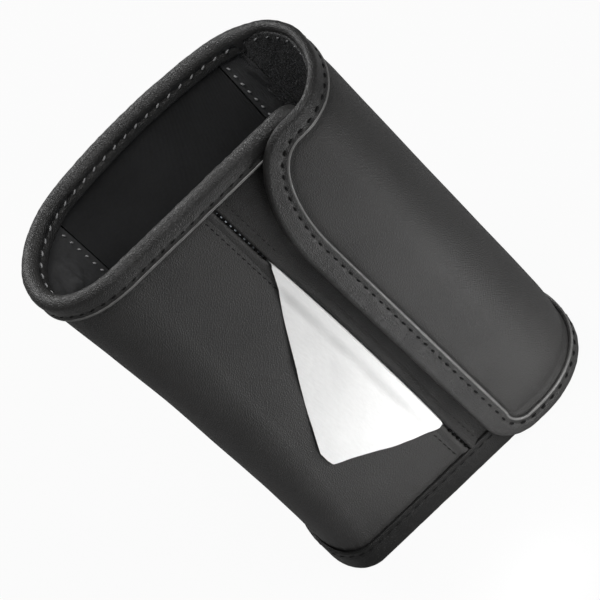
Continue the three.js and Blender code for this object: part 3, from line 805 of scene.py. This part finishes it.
base_stitch_z = 10.2
base_middle_z = 6.0
# The base tape is the same tape as the mouth's, painted much darker: painted shade on the roll that turns
# down under the foot.
base_tape_shade_dark = (0.006, 0.0059, 0.0058)
base_tape_shade_light = (0.015, 0.0147, 0.0144)
base_tape_painted_shade = leather_like("base_tape_painted_shade", base_tape_shade_dark, base_tape_shade_light, 0.42, tape_grain, 0.28)
base_rows = [(-tape_proud, base_stitch_z, stitch_pitch, 0.38)]
base_form = wall_tape(base_profile(), 7.0, 0.12, base_rows, base_middle_z, hinge_edge(base_middle_z))
piece("base_tape", base_form, base_tape_painted_shade, "pouch", ["base_binding"])
base_line = wall_line(base_stitch_z, -tape_proud + 0.2)
base_row = stitches(base_line, stitch_pitch, length=2.9, radius=0.3, rise=0.1)
piece("base_stitches", base_row, thread_black, "pouch")


# Right end of the base: a low tape folded round the three plates, which the flap closes over. The plates
# themselves are the vinyl underside, a grey board and a lining, cut to one outline.
flap_edge_x = 13.0
flap_bottom = 2.5
flap_thickness = 3.6
flap_front = front_depth + flap_inset
flap_samples = 64
flap_straight = min(panel_flat(0), panel_flat(pouch_height)) - flap_edge_x
flap_outlines = {}


def flap_outline(z):
    key = round(z, 1)
    if key not in flap_outlines:
        corner, half = flap_corner(key), right_half(key)
        points = [(flap_edge_x, -flap_front)]
        for i in range(flap_samples + 1):
            along, across = quarter(i / flap_samples)
            points.append((half - corner + corner * across, -flap_front * along))
        for i in range(1, flap_samples + 1):
            x = hinge_x + (half - hinge_x) * math.cos(i / flap_samples * math.pi / 2)
            points.append((x, back_y(x, key)))
        flap_outlines[key] = (points, walk(points))
    return flap_outlines[key]


flap_length = flap_outline(pouch_height / 2)[1][-1]


def flap_plan(length, z):
    points, walked = flap_outline(z)
    stretch = (walked[-1] - flap_straight) / (flap_length - flap_straight)
    wanted = min(length, flap_straight) + max(0.0, length - flap_straight) * stretch
    i, share = find(walked, wanted)
    (x0, y0), (x1, y1) = points[i - 1], points[i]
    return x0 + (x1 - x0) * share, y0 + (y1 - y0) * share


def flap_normal(length, z):
    reach = flap_thickness / 2
    before, after = flap_plan(length - reach, z), flap_plan(length + reach, z)
    return Vector((after[1] - before[1], before[0] - after[0], 0)).normalized()


def flap_point(length, z, depth):
    x, y = flap_plan(length, z)
    return Vector((x, y, z)) - flap_normal(length, z) * depth


base_end_leg = 2.6
base_end_face = flap_thickness + layer_gap
base_top = 4.7
base_end_clearance = 0.8
base_end_round = 0.8
base_end_x = max(panel_flat(0), panel_flat(base_top + tape_proud)) + panel_reach + base_end_clearance
base_end_length = flap_straight + next(
    reach for reach in spread(0, 40, 400) if flap_point(flap_straight + reach, 0, flap_inset).x >= base_end_x)


def base_end_profile():
    inner = base_end_face + tape_proud + base_end_leg
    low = base_end_face + tape_thickness
    middle = (base_top + tape_proud) / 2
    side = [(base_end_face + base_end_round * (1 - math.sin(a)), middle + middle * math.cos(a))
            for a in spread(0.0, math.pi, 12)]
    return side + [(inner, 0.0), (inner, base_cover_thickness), (low, base_cover_thickness),
                   (low, base_top + layer_gap), (inner, base_top + layer_gap), (inner, base_top + tape_proud)]


base_end_rings = []
for walked in spread(base_end_length, flap_length - base_end_clearance, 90):
    ring = []
    for depth, z in base_end_profile():
        soft = gathered(walked, z + depth, 2.2, 0.12, 2.0) if depth < base_end_face + base_end_round else 0.0
        ring.append(flap_point(walked, z, depth - min(0.0, soft)))
    base_end_rings.append(ring)
piece("base_end_tape", swept(base_end_rings), tape, "pouch", ["base_end_binding"])

weave_pitch = 0.0007
weave_height = 0.00008


def woven(name, dark, light, roughness):
    finish = Finish(name, {"Specular IOR Level": 0.25, "Sheen Weight": 0.05, "Sheen Roughness": 0.5})
    place = finish.place()
    axes = finish.node("SeparateXYZ", {}, {0: place})
    across = axes + finish.node("SeparateXYZ", {}, {0: place}, 1)
    up = finish.node("SeparateXYZ", {}, {0: place}, 2)
    warp = finish.maths("SINE", across * (math.tau / weave_pitch), 0.0)
    weft = finish.maths("SINE", up * (math.tau / weave_pitch), 0.0)
    cloud = finish.mottle(0.03, 3.0)
    slub = finish.mottle(0.0012)
    finish.paint(finish.between(cloud + 0.4 * slub, 0.4, 1.0), dark, light)
    finish.use("Roughness", roughness + 0.1 * slub)
    finish.emboss(warp * weft + slub, weave_height)
    return finish


lining = woven("black_lining", (0.02, 0.02, 0.0205), (0.033, 0.033, 0.034), roughness=0.8)
strip_cloth = woven("strip_cloth", (0.035, 0.035, 0.036), (0.075, 0.075, 0.076), roughness=0.6)
board = Finish("grey_board", {"Roughness": 0.9, "Specular IOR Level": 0.2})
board_fibre = board.mottle(0.0015, 5.0)
board.paint(board_fibre, (0.13, 0.12, 0.1), (0.26, 0.24, 0.2))
board.emboss(board_fibre, 0.0001)
for nodes, finish in (
        (("base_board", "board_back", "board_front_left", "board_front_right", "flap_board"), board),
        (("base_cover",), leather), (("base_lining",), lining)):
    for node in nodes:
        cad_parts[node].data.materials.clear()
        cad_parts[node].data.materials.append(finish.material)


# Lining: a flat panel of black cloth on the back board, and looser strips round both ends and behind the
# front, sewn to the panel with grey thread. The strips are sewn at their edges only, so they crinkle.
lining_depth = 3.4
lining_thickness = 0.8
lining_face = lining_depth + lining_thickness
lining_foot = base_top + layer_gap
panel_right_foot = 28.0
panel_right_lean = 0.06
panel_left = back_station - corner_steps * 0.2
seam_width = 0.7
edge_step = seam_width / waist_half_width * back_steps


def panel_right(z):
    return panel_right_foot + panel_right_lean * z


seam_flat = 3.5
seam_ease = 6.0
lining_sunk = 0.1
crinkle_wide = 6.5
crinkle_tall = 15.0
seam_beside = 2.8


def crinkled(amount, seam_at=-20.0):
    """A rise for loose cloth: soft folds that die out beside the seam, which is a length along the strip."""
    def rise(station, length, z):
        folds = lumps(length / crinkle_wide, z / crinkle_tall, amount)
        folds += 0.5 * lumps(2.5 * length / crinkle_wide, 2.5 * z / crinkle_tall, 7.0)
        loose = clamped((abs(length - seam_at) - seam_flat) / seam_ease)
        loose *= clamped((mouth_inner_z - seam_flat - z) / (2 * seam_ease))
        return -amount * loose * max(0.0, folds + 0.3) - lining_sunk
    return rise


def flat_lining(station, length, z):
    return rumple((length, z, 0), 26.0, 0.25) - lining_sunk


def panel_seam(past):
    return lambda z: back_station_at(panel_right(z) + past, z)


end_strip_length = even_stations(left_corner_station, panel_left - edge_step, 1.0)[-1][1]
for name, start_at, end_at, rise_at, cloth, replaced in (
        ("back_lining", lambda z: panel_left, panel_seam(0.0), flat_lining, lining, "lining_back"),
        ("hinge_lining", panel_seam(seam_width), hinge_edge, crinkled(2.4, 0.0), strip_cloth,
         "lining_hinge_strip"),
        ("end_lining", lambda z: left_corner_station, lambda z: panel_left - edge_step,
         crinkled(3.6, end_strip_length), strip_cloth, "lining_left_end"),
        ("front_lining_left", front_edge(slit_x - 3), lambda z: left_corner_station - edge_step,
         crinkled(0.5), strip_cloth, "lining_front_left"),
        ("front_lining_right", panel_end, front_edge(slit_x + 3), crinkled(0.5), strip_cloth,
         "lining_front_right"),
):
    form = wall_sheet(start_at, end_at, lining_foot, cover_head, levels=110, pitch=tape_stop,
                      depth=lining_depth, thickness=lining_thickness, rise_at=rise_at)
    piece(name, form, cloth, "pouch", [replaced])


def lining_row(station_at):
    return [(wall_point(station_at(z), z, lining_face + 0.15), -wall_normal(station_at(z), z))
            for z in spread(lining_foot + 2, mouth_inner_z - 1, 160)]


lining_thread = {"pitch": 4.8, "length": 1.7, "radius": 0.42, "rise": 0.25, "lean": 0.3}
lining_rows = joined(*(stitches(lining_row(station_at), **lining_thread)
                       for station_at in (lambda z: panel_left - 0.5, panel_seam(seam_beside))))
piece("lining_stitches", lining_rows, thread_grey_highlit, "pouch")


# Flap: thin vinyl over foam, with a board along its free edge and a loop lining inside. It is sewn to the
# back wall and wraps round the right end over the front. Tape is folded over its rim and sewn through.
flap_corner_width = 30.0
flap_corner_height = 59.0
flap_low_corner = 16.0
flap_top_band = 10.0
flap_edge_band = 11.0
flap_bottom_band = 7.5
flap_inner_band = 2.4
flap_inner_face = 3.0
flap_join = 16.0
flap_join_foot = 120.0
flap_join_rise = 60.0
flap_cover_inset = 2.6
flap_pile_depth = 2.6
flap_end = flap_length - layer_gap / 2
flap_swell = 1.1
flap_swell_reach = 14.0
flap_groove = 0.45
flap_groove_reach = 1.2


def cut_off(length, inset, wide, tall):
    """How much of the flap's height a rounded corner takes away, at a length from the free edge."""
    over = max(0.0, wide - length) / (wide - inset)
    return tall - (tall - inset) * math.sqrt(max(0.0, 1 - over * over))


def flap_heights(length, inset, levels):
    low = flap_bottom + cut_off(length, inset, flap_low_corner, flap_low_corner)
    high = pouch_height - cut_off(length, inset, flap_corner_width, flap_corner_height)
    return spread(low, high, levels)


def rim_distance(length, z):
    """How far a point of the flap lies in from its rim."""
    middle = pouch_height - flap_corner_height
    if length < flap_corner_width and z > middle:
        low, high = 0.0, flap_corner_width - 0.01
        for _ in range(14):
            inset = (low + high) / 2
            wide, tall = flap_corner_width - inset, flap_corner_height - inset
            if ((flap_corner_width - length) / wide) ** 2 + ((z - middle) / tall) ** 2 < 1:
                low = inset
            else:
                high = inset
        return low
    if length < flap_low_corner and z < flap_bottom + flap_low_corner:
        return flap_low_corner - math.hypot(flap_low_corner - length, flap_bottom + flap_low_corner - z)
    return min(length, pouch_height - z, z - flap_bottom)


def flap_layer(inset, depth, thickness, outer_rise, inner_rise, pitch=1.3, levels=130):
    turn = [inset + (flap_corner_width - inset) * (1 - math.cos(a)) for a in spread(0.0, math.pi / 2, 26)]
    rest = spread(flap_corner_width, flap_end, round((flap_end - flap_corner_width) / pitch))
    outside, inside = [], []
    for length in turn + rest[1:]:
        heights = flap_heights(length, inset, levels)
        outside.append([flap_point(length, z, depth - outer_rise(length, z)) for z in heights])
        inside.append([flap_point(length, z, depth + thickness - inner_rise(length, z)) for z in heights])
    return shell(outside, inside)


def flap_cover_rise(length, z):
    inner = rim_distance(length, z) - flap_edge_band
    share = clamped(inner / flap_swell_reach)
    swell = flap_swell * share * (2 - share) - flap_groove * dip(inner, flap_groove_reach)
    small = pucker(max(0.0, inner), z + length) + rumple((*flap_plan(length, z), z), 38.0, 0.35, 5.0)
    return swell + small * clamped((inner + 2) / 4)


def unraised(length, z):
    return 0.0


def joining(length, z):
    """How far the top of the flap's rim has turned into the mouth's rim, up to 1 at the hinge."""
    return eased(1 - (flap_end - length) / flap_join) * clamped((z - flap_join_foot) / flap_join_rise)


flap_skin = flap_layer(flap_cover_inset, 0.0, 1.0, flap_cover_rise, unraised)
flap_cover = piece("flap_face", flap_skin, leather, None, ["flap_cover"])

pile = Finish("loop_pile", {"Roughness": 1.0, "Specular IOR Level": 0.1, "Sheen Weight": 0.25,
                            "Sheen Roughness": 0.6})
tuft = pile.mottle(0.0009, 4.0)
loops = pile.node("TexVoronoi", {}, {"Vector": pile.place(), "Scale": 1400.0})
pile.paint(pile.between(tuft, 0.35, 0.65), (0.004, 0.004, 0.004), (0.045, 0.045, 0.046))
pile.emboss(tuft + loops * 0.5, 0.0009)


tuft_size = 1.3
nap_size = 5.0


def fuzz(length, z):
    nap = 0.2 * lumps(length / nap_size, z / nap_size, 8.0)
    return 0.45 * lumps(length / tuft_size, z / tuft_size, 3.0) + nap


pile_join = 1.3


def pile_rise(length, z):
    return fuzz(length, z) - pile_join * joining(length, z)


pile_form = flap_layer(flap_inner_band + layer_gap, flap_pile_depth, 1.0, unraised, pile_rise, 1.0, 190)
flap_pile = piece("flap_pile", pile_form, pile, None, ["flap_loop_lining"], 180)

pile_edge_x = 48.0
pile_edge_lean = 2.7
pile_edge_fray = 0.7
pile_lean_foot = 168.0
pile_sunk = 0.35


def pile_edge_station(z):
    x = pile_edge_x + pile_edge_lean * clamped((z - pile_lean_foot) / (mouth_inner_z - 4 - pile_lean_foot))
    return back_station_at(x + pile_edge_fray * lumps(z / 2.2, 0, 4.0), z)


def pile_edge_rise(station, length, z):
    return -fuzz(length, z) - pile_sunk


pouch_pile = wall_sheet(pile_edge_station, hinge_edge, lining_foot, mouth_inner_z + 1, levels=190,
                        pitch=tape_stop, depth=lining_face - 0.2, thickness=0.9, rise_at=pile_edge_rise)
piece("pile_edge", pouch_pile, pile, "pouch", (), 180)


def rim_corner(angles, first_band, last_band, width, height, centre_z):
    """Stops round a corner of the rim, a quarter of an ellipse. Its height is below 0 if it turns down."""
    stops = []
    for angle in angles:
        turned = abs(angle - angles[0]) / (math.pi / 2)
        tall = math.copysign(1, height)
        stops.append((first_band + (last_band - first_band) * turned,
                      lambda inset, a=angle: (width - (width - inset) * math.cos(a),
                                              centre_z + (height - inset * tall) * math.sin(a))))
    return stops


def flap_rim():
    """Stops round the rim of the flap: the band there, and its place at a distance in from the rim."""
    upper, lower = pouch_height - flap_corner_height, flap_bottom + flap_low_corner
    top = [(flap_top_band, lambda inset, at=length: (at, pouch_height - inset))
           for length in spread(flap_length - 0.03, flap_corner_width + 0.9, 110)]
    corner = rim_corner(spread(math.pi / 2, 0.0, 60), flap_top_band, flap_edge_band,
                        flap_corner_width, flap_corner_height, upper)
    edge = [(flap_edge_band, lambda inset, at=z: (inset, at)) for z in spread(upper - 0.9, lower + 0.9, 130)]
    low = rim_corner(spread(0.0, math.pi / 2, 26), flap_edge_band, flap_bottom_band,
                     flap_low_corner, -flap_low_corner, lower)
    bottom = [(flap_bottom_band, lambda inset, at=length: (at, flap_bottom + inset))
              for length in spread(flap_low_corner + 0.9, flap_end, 110)]
    return top + corner + edge + low + bottom


flap_stitch_inset = 2.9
flap_pitch = 5.2
flap_back_inset = 5.2
flap_roll = 2.0
flap_hem = 0.3
tape_lap = 0.4
leg_join = 0.8
flap_core_inset = 1.5
flap_stitch_sink = 0.55


def flap_section(band, join):
    """The tape's section as (distance in from the rim, depth, outward direction). Beside the hinge it takes
    on the shape of the mouth tape, which it runs into."""
    face = flap_inner_face + (mouth_inner_face - flap_inner_face) * join
    longer = pouch_height - mouth_inner_z - flap_inner_band
    leg = flap_inner_band + longer * max(0.0, join - leg_join) / (1 - leg_join)
    roll = flap_roll + (mouth_crown - flap_roll) * join
    leg = max(leg, roll + tape_lap)
    half, middle = (face + tape_proud) / 2, (face - tape_proud) / 2
    hem = [(band, -tape_proud + flap_hem, None), (band - flap_hem, -tape_proud, (0, -1))]
    outer = [(inset, -tape_proud, (0, -1)) for inset in spread(band - tape_stop, roll, 12)]
    crown = [(roll * (1 - math.sin(a)), middle - half * math.cos(a), (-math.sin(a), -math.cos(a)))
             for a in spread(0.0, math.pi, 12)[1:-1]]
    inner = [(inset, face, (0, 1)) for inset in spread(roll, leg - 0.1, 8)]
    lap, core = flap_pile_depth - tape_lap, flap_core_inset
    under = [(leg, face, None), (leg, lap, None), (core, lap, None), (core, -layer_gap, None)]
    return hem + outer + crown + inner + under + [(band, -layer_gap, None)]


def flap_tape():
    rings = []
    rim = flap_rim()
    middles = [at(band / 2) for band, at in rim]
    walks = walk([flap_point(length, z, 0) for length, z in middles])
    for (band, at), (length, z), walked in zip(rim, middles, walks):
        ring = []
        for order, (inset, depth, outward) in enumerate(flap_section(band, joining(length, z))):
            if outward:
                around = order * tape_stop
                rise = gathered(walked, around, fold_size, 0.13, 5.0)
                rise += gathered(walked, around, wave_size, 0.16, 9.0)
                sink = flap_stitch_sink * abs(outward[1])
                rise -= sink * dent(inset - band + flap_stitch_inset, walked, flap_pitch)
                inset, depth = inset + outward[0] * min(rise, 0.1), depth + outward[1] * rise
            ring.append(flap_point(*at(inset), depth))
        rings.append(ring)
    return swept(rings)


def rim_line(depth, inset_at, outward=1):
    """A line round the flap along its rim, on its face or, with outward -1, on the pile at its back."""
    path = []
    for band, at in flap_rim():
        length, z = at(inset_at(band))
        rise = pile_join * joining(length, z) if outward < 0 else 0.0
        path.append((flap_point(length, z, depth + rise), flap_normal(length, z) * outward))
    return path


hem_line = rim_line(-tape_proud + hem_sunk, lambda band: band - hem_radius)
face_line = rim_line(-tape_proud + 0.25, lambda band: band - flap_stitch_inset)
back_line = rim_line(flap_thickness + 0.15, lambda band: flap_back_inset, -1)
face_row = stitches(face_line, flap_pitch, length=2.3, radius=0.42, rise=0.25, lean=0.1)
back_row = stitches(back_line, inner_pitch, length=1.8, radius=0.36, rise=0.2, lean=0.35)
flap_layers = (
    flap_cover,
    flap_pile,
    piece("flap_tape", flap_tape(), tape, None, ["flap_binding"]),
    piece("flap_tape_edge", bead(hem_line), painted_edge_highlight, None),
    piece("flap_stitches", face_row, thread_black, None),
    piece("flap_back_stitches", back_row, thread_grey_highlit, None),
)

# The hinge is only the seam. The flap's layers belong to no body; each has its place baked into its mesh.
for layer in flap_layers:
    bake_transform(layer)


# Closure: two patches of hook tape sewn to the front beside the slit, which grip the flap's loop lining. Each
# is a woven strip with rows of small bent nylon hooks.
hook_x = 18.0
hook_low_z = 40.0
hook_high_z = 125.0
hook_length = panel_flat(hook_low_z) - hook_x - 0.9
hook_width = 20.0
hook_base = 0.4
hook_pitch = 1.15
hook_bend = ((0.0, 0.0), (0.05, 0.35), (0.18, 0.62), (0.36, 0.72), (0.5, 0.6))
hook_section = ((-0.11, -0.08), (0.11, -0.08), (0.11, 0.08), (-0.11, 0.08))
hook_plastic = Finish("hook_nylon", {"Roughness": 0.35, "Specular IOR Level": 0.5})
hook_plastic.paint(hook_plastic.mottle(0.002), (0.008, 0.008, 0.008), (0.02, 0.02, 0.021))


def hook_patch(low_z):
    face = -front_depth - layer_gap
    outside = [[Vector((x, face - hook_base, z)) for z in spread(low_z, low_z + hook_width, 2)]
               for x in spread(hook_x, hook_x + hook_length, 2)]
    inside = [[Vector((p.x, face, p.z)) for p in row] for row in outside]
    hooks = []
    columns, rows = int(hook_length / hook_pitch), int(hook_width / hook_pitch)
    for i in range(columns):
        for j in range(rows):
            x = hook_x + (i + 0.5) * hook_length / columns
            z = low_z + (j + 0.5) * hook_width / rows
            hooks.append(swept([[Vector((x + dx, face - hook_base - out, z + up - 0.2 + dz * (1 + up)))
                                 for dx, dz in hook_section] for up, out in hook_bend]))
    return joined(shell(outside, inside), *hooks)


piece("hook_patch_lower", hook_patch(hook_low_z), hook_plastic, "pouch", ["hook_tape_lower"])
piece("hook_patch_upper", hook_patch(hook_high_z), hook_plastic, "pouch", ["hook_tape_upper"])


# Refill: a soft pack of folded facial tissue in clear film, with a slot torn in its front. It stands on the
# base behind the slit, and lifts out of the mouth.
pack_width = 100.0
pack_depth = 38.0
pack_height = 150.0
pack_corner = 17.0
pack_front = -front_depth + wall_thickness + tape_proud + 0.4
pack_y = pack_front + pack_depth / 2
pack_bottom = base_top + layer_gap
film_thickness = 0.6
pack_round = 5.0
slot_half_width = 3.0
slot_margin = 16.0
film_fold = 0.45
film_crease = 14.0


def pack_ring(inset, z, soft, count=220):
    """Points round the pack at a height, drawn in by the inset. It starts at the middle of the front."""
    wide, deep = pack_width / 2 - inset, pack_depth / 2 - inset
    corner = max(0.02, min(pack_corner - inset, deep))
    straight_x, straight_y = wide - corner, max(0.0, deep - corner)
    sides = [2 * straight_x, corner * math.pi / 2, 2 * straight_y, corner * math.pi / 2] * 2
    ring = []
    for k in range(count):
        left = (sum(sides) * k / count + straight_x) % sum(sides)
        side = 0
        while left > sides[side] and side < 7:
            left -= sides[side]
            side += 1
        half_turn, side = divmod(side, 4)
        if side == 0:
            angle, x, y = -math.pi / 2, left - straight_x, -deep
        elif side == 2:
            angle, x, y = 0.0, wide, left - straight_y
        else:
            angle = left / corner + (side - 3) * math.pi / 4
            x = straight_x + corner * math.cos(angle)
            y = (side - 2) * straight_y + corner * math.sin(angle)
        if half_turn:
            x, y, angle = -x, -y, angle + math.pi
        rise = soft(x, y, z)
        ring.append(Vector((slit_x + x + math.cos(angle) * rise, pack_y + y + math.sin(angle) * rise, z)))
    return ring


def pack_rows(inset, soft, levels=110):
    top = pack_bottom + pack_height
    floor_rows = [(k, pack_bottom + inset) for k in spread(pack_depth / 2 - 0.3, pack_round, 6)[:-1]]
    top_rows = [(k, top - inset) for k, _ in reversed(floor_rows)]
    foot_bend, head_bend = [], []
    for a in spread(0.0, math.pi / 2, 6):
        out, up = pack_round * (1 - math.sin(a)), pack_round * (1 - math.cos(a))
        foot_bend.append((inset + out, pack_bottom + inset + up))
        head_bend.append((inset + up, top - inset - out))
    side_rows = [(inset, z) for z in spread(pack_bottom + pack_round + 1.5, top - pack_round - 1.5, levels)]
    rows = floor_rows + foot_bend + side_rows + head_bend + top_rows
    return [pack_ring(max(k, inset), z, soft) for k, z in rows]


def film_rumple(x, y, z):
    folds = lumps(x / film_crease, y / film_crease, z / 9) + 0.5 * abs(lumps(x / 5, y / 5, z / 4))
    return -film_fold * max(0.0, folds)


outer_rows = pack_rows(0.0, film_rumple)
inner_rows = pack_rows(film_thickness, film_rumple)
slot_low, slot_high = pack_bottom + slot_margin, pack_bottom + pack_height - slot_margin


def off_slot(i, j):
    spot = outer_rows[i][j]
    in_width = abs(spot.x - slit_x) < slot_half_width and spot.y < pack_y
    return not (in_width and slot_low < spot.z < slot_high)


film = Finish("clear_film", {"Roughness": 0.18, "Specular IOR Level": 0.5})
film_haze = film.mottle(0.012, 3.0)
film.paint(film_haze, (0.62, 0.7, 0.78), (0.82, 0.87, 0.92))
film.use("Alpha", 0.3 + 0.25 * film_haze)
film.emboss(film.mottle(0.006, 4.0), 0.0006)
film_form = shell(outer_rows, inner_rows, off_slot, ring=True)
piece("refill_film", film_form, film, "refill", ["tissue_wrapper"])

tissue_paper = Finish("tissue_paper", {"Roughness": 0.95, "Specular IOR Level": 0.15})
crepe_place = tissue_paper.node("Mapping", {}, {"Vector": tissue_paper.place(), "Scale": (1.0, 1.0, 0.35)})
crepe = tissue_paper.mottle(0.0011, 3.0, crepe_place)
tissue_paper.paint(crepe, (0.88, 0.88, 0.875), (0.95, 0.95, 0.945))
tissue_paper.emboss(crepe + tissue_paper.mottle(0.0004) * 0.4, 0.00009)
leaf_edge = 0.14
leaf_pitch = 1.3


def leaf_edges(x, y, z):
    return leaf_edge * math.sin(math.tau * y / leaf_pitch) + 0.1 * lumps(x / 9, y / 2, z / 9) - 0.15


stack = swept(pack_rows(film_thickness + layer_gap, leaf_edges))
piece("folded_tissues", stack, tissue_paper, "refill", ["tissue_stack"])


# Tissue: the next leaf's corner stands in the slit, turns over the left lip and hangs down the front. Two-ply
# crepe paper, cut square, so what shows is one corner of it, with its tip folded under.
tissue_outline = [(1.6, 151.5), (-2.7, 141.0), (-11.6, 124.4), (-22.4, 102.5), (-30.5, 85.0), (-36.4, 71.6),
                  (-38.6, 66.4), (-38.8, 61.5), (-38.4, 57.8), (-35.5, 55.4), (-23.8, 47.4), (-10.0, 38.2),
                  (-3.6, 34.8), (0.6, 33.6)]
tissue_thickness = 0.3
tissue_lie = front_depth + 0.75
tissue_over = front_depth + 2.2
tissue_clear = 0.3
tissue_turn = 2.4
tissue_settle = 5.0
tissue_waves = 7.0
tissue_wave_height = 0.5


def outline_at(share):
    walked = walk(tissue_outline)
    i, part = find(walked, share * walked[-1])
    (x0, z0), (x1, z1) = tissue_outline[i - 1], tissue_outline[i]
    return x0 + (x1 - x0) * part, z0 + (z1 - z0) * part


def tissue_row(share):
    z = slit_top - 1.0 + (slit_bottom - slit_top + 2.0) * share
    edge_x, edge_z = outline_at(share)
    stand = slit_x + 0.75 * (lip_offset(z) - lip_gap)
    back = Vector((slit_x, pack_front - tissue_clear, z))
    front = Vector((stand, -front_depth - 1.2, z))
    row = [back.lerp(front, t) for t in spread(0.0, 1.0, 6)]
    start = Vector((stand - 0.4, z))
    reach = Vector((edge_x, edge_z)) - start
    for out in spread(0.0, 1.0, 44):
        spot = start + reach * out
        settle = eased((slit_x - tissue_turn - spot.x) / tissue_settle)
        waves = 1 + math.sin(tissue_waves * share * math.pi + 1.0)
        folds = tissue_wave_height * settle * out * waves * (1 - share * 0.4)
        folds += settle * max(0.0, rumple((spot.x, spot.y, 0), 13.0, 0.8, 4.0))
        row.append(Vector((spot.x, -tissue_over + (tissue_over - tissue_lie) * settle - folds, spot.y)))
    return row


tissue_grid = [tissue_row(share) for share in spread(0.0, 1.0, 120)]


def tissue_side(side):
    rows = []
    for row in tissue_grid:
        rows.append([])
        for j, point in enumerate(row):
            run = row[min(j + 1, len(row) - 1)] - row[max(0, j - 1)]
            across = Vector((-run.y, run.x, 0)).normalized()
            rows[-1].append(point + across * (side * tissue_thickness / 2))
    return rows


leaf_form = shell(tissue_side(1), tissue_side(-1))
leaf = piece("tissue_leaf", leaf_form, tissue_paper, "tissue", ["tissue_sheet"])
leaf_area = sum((a - b).cross(c - b).length / 2 + (a - d).cross(c - d).length / 2
                for row, below in zip(tissue_grid, tissue_grid[1:])
                for b, a, c, d in zip(row, row[1:], below, below[1:]))
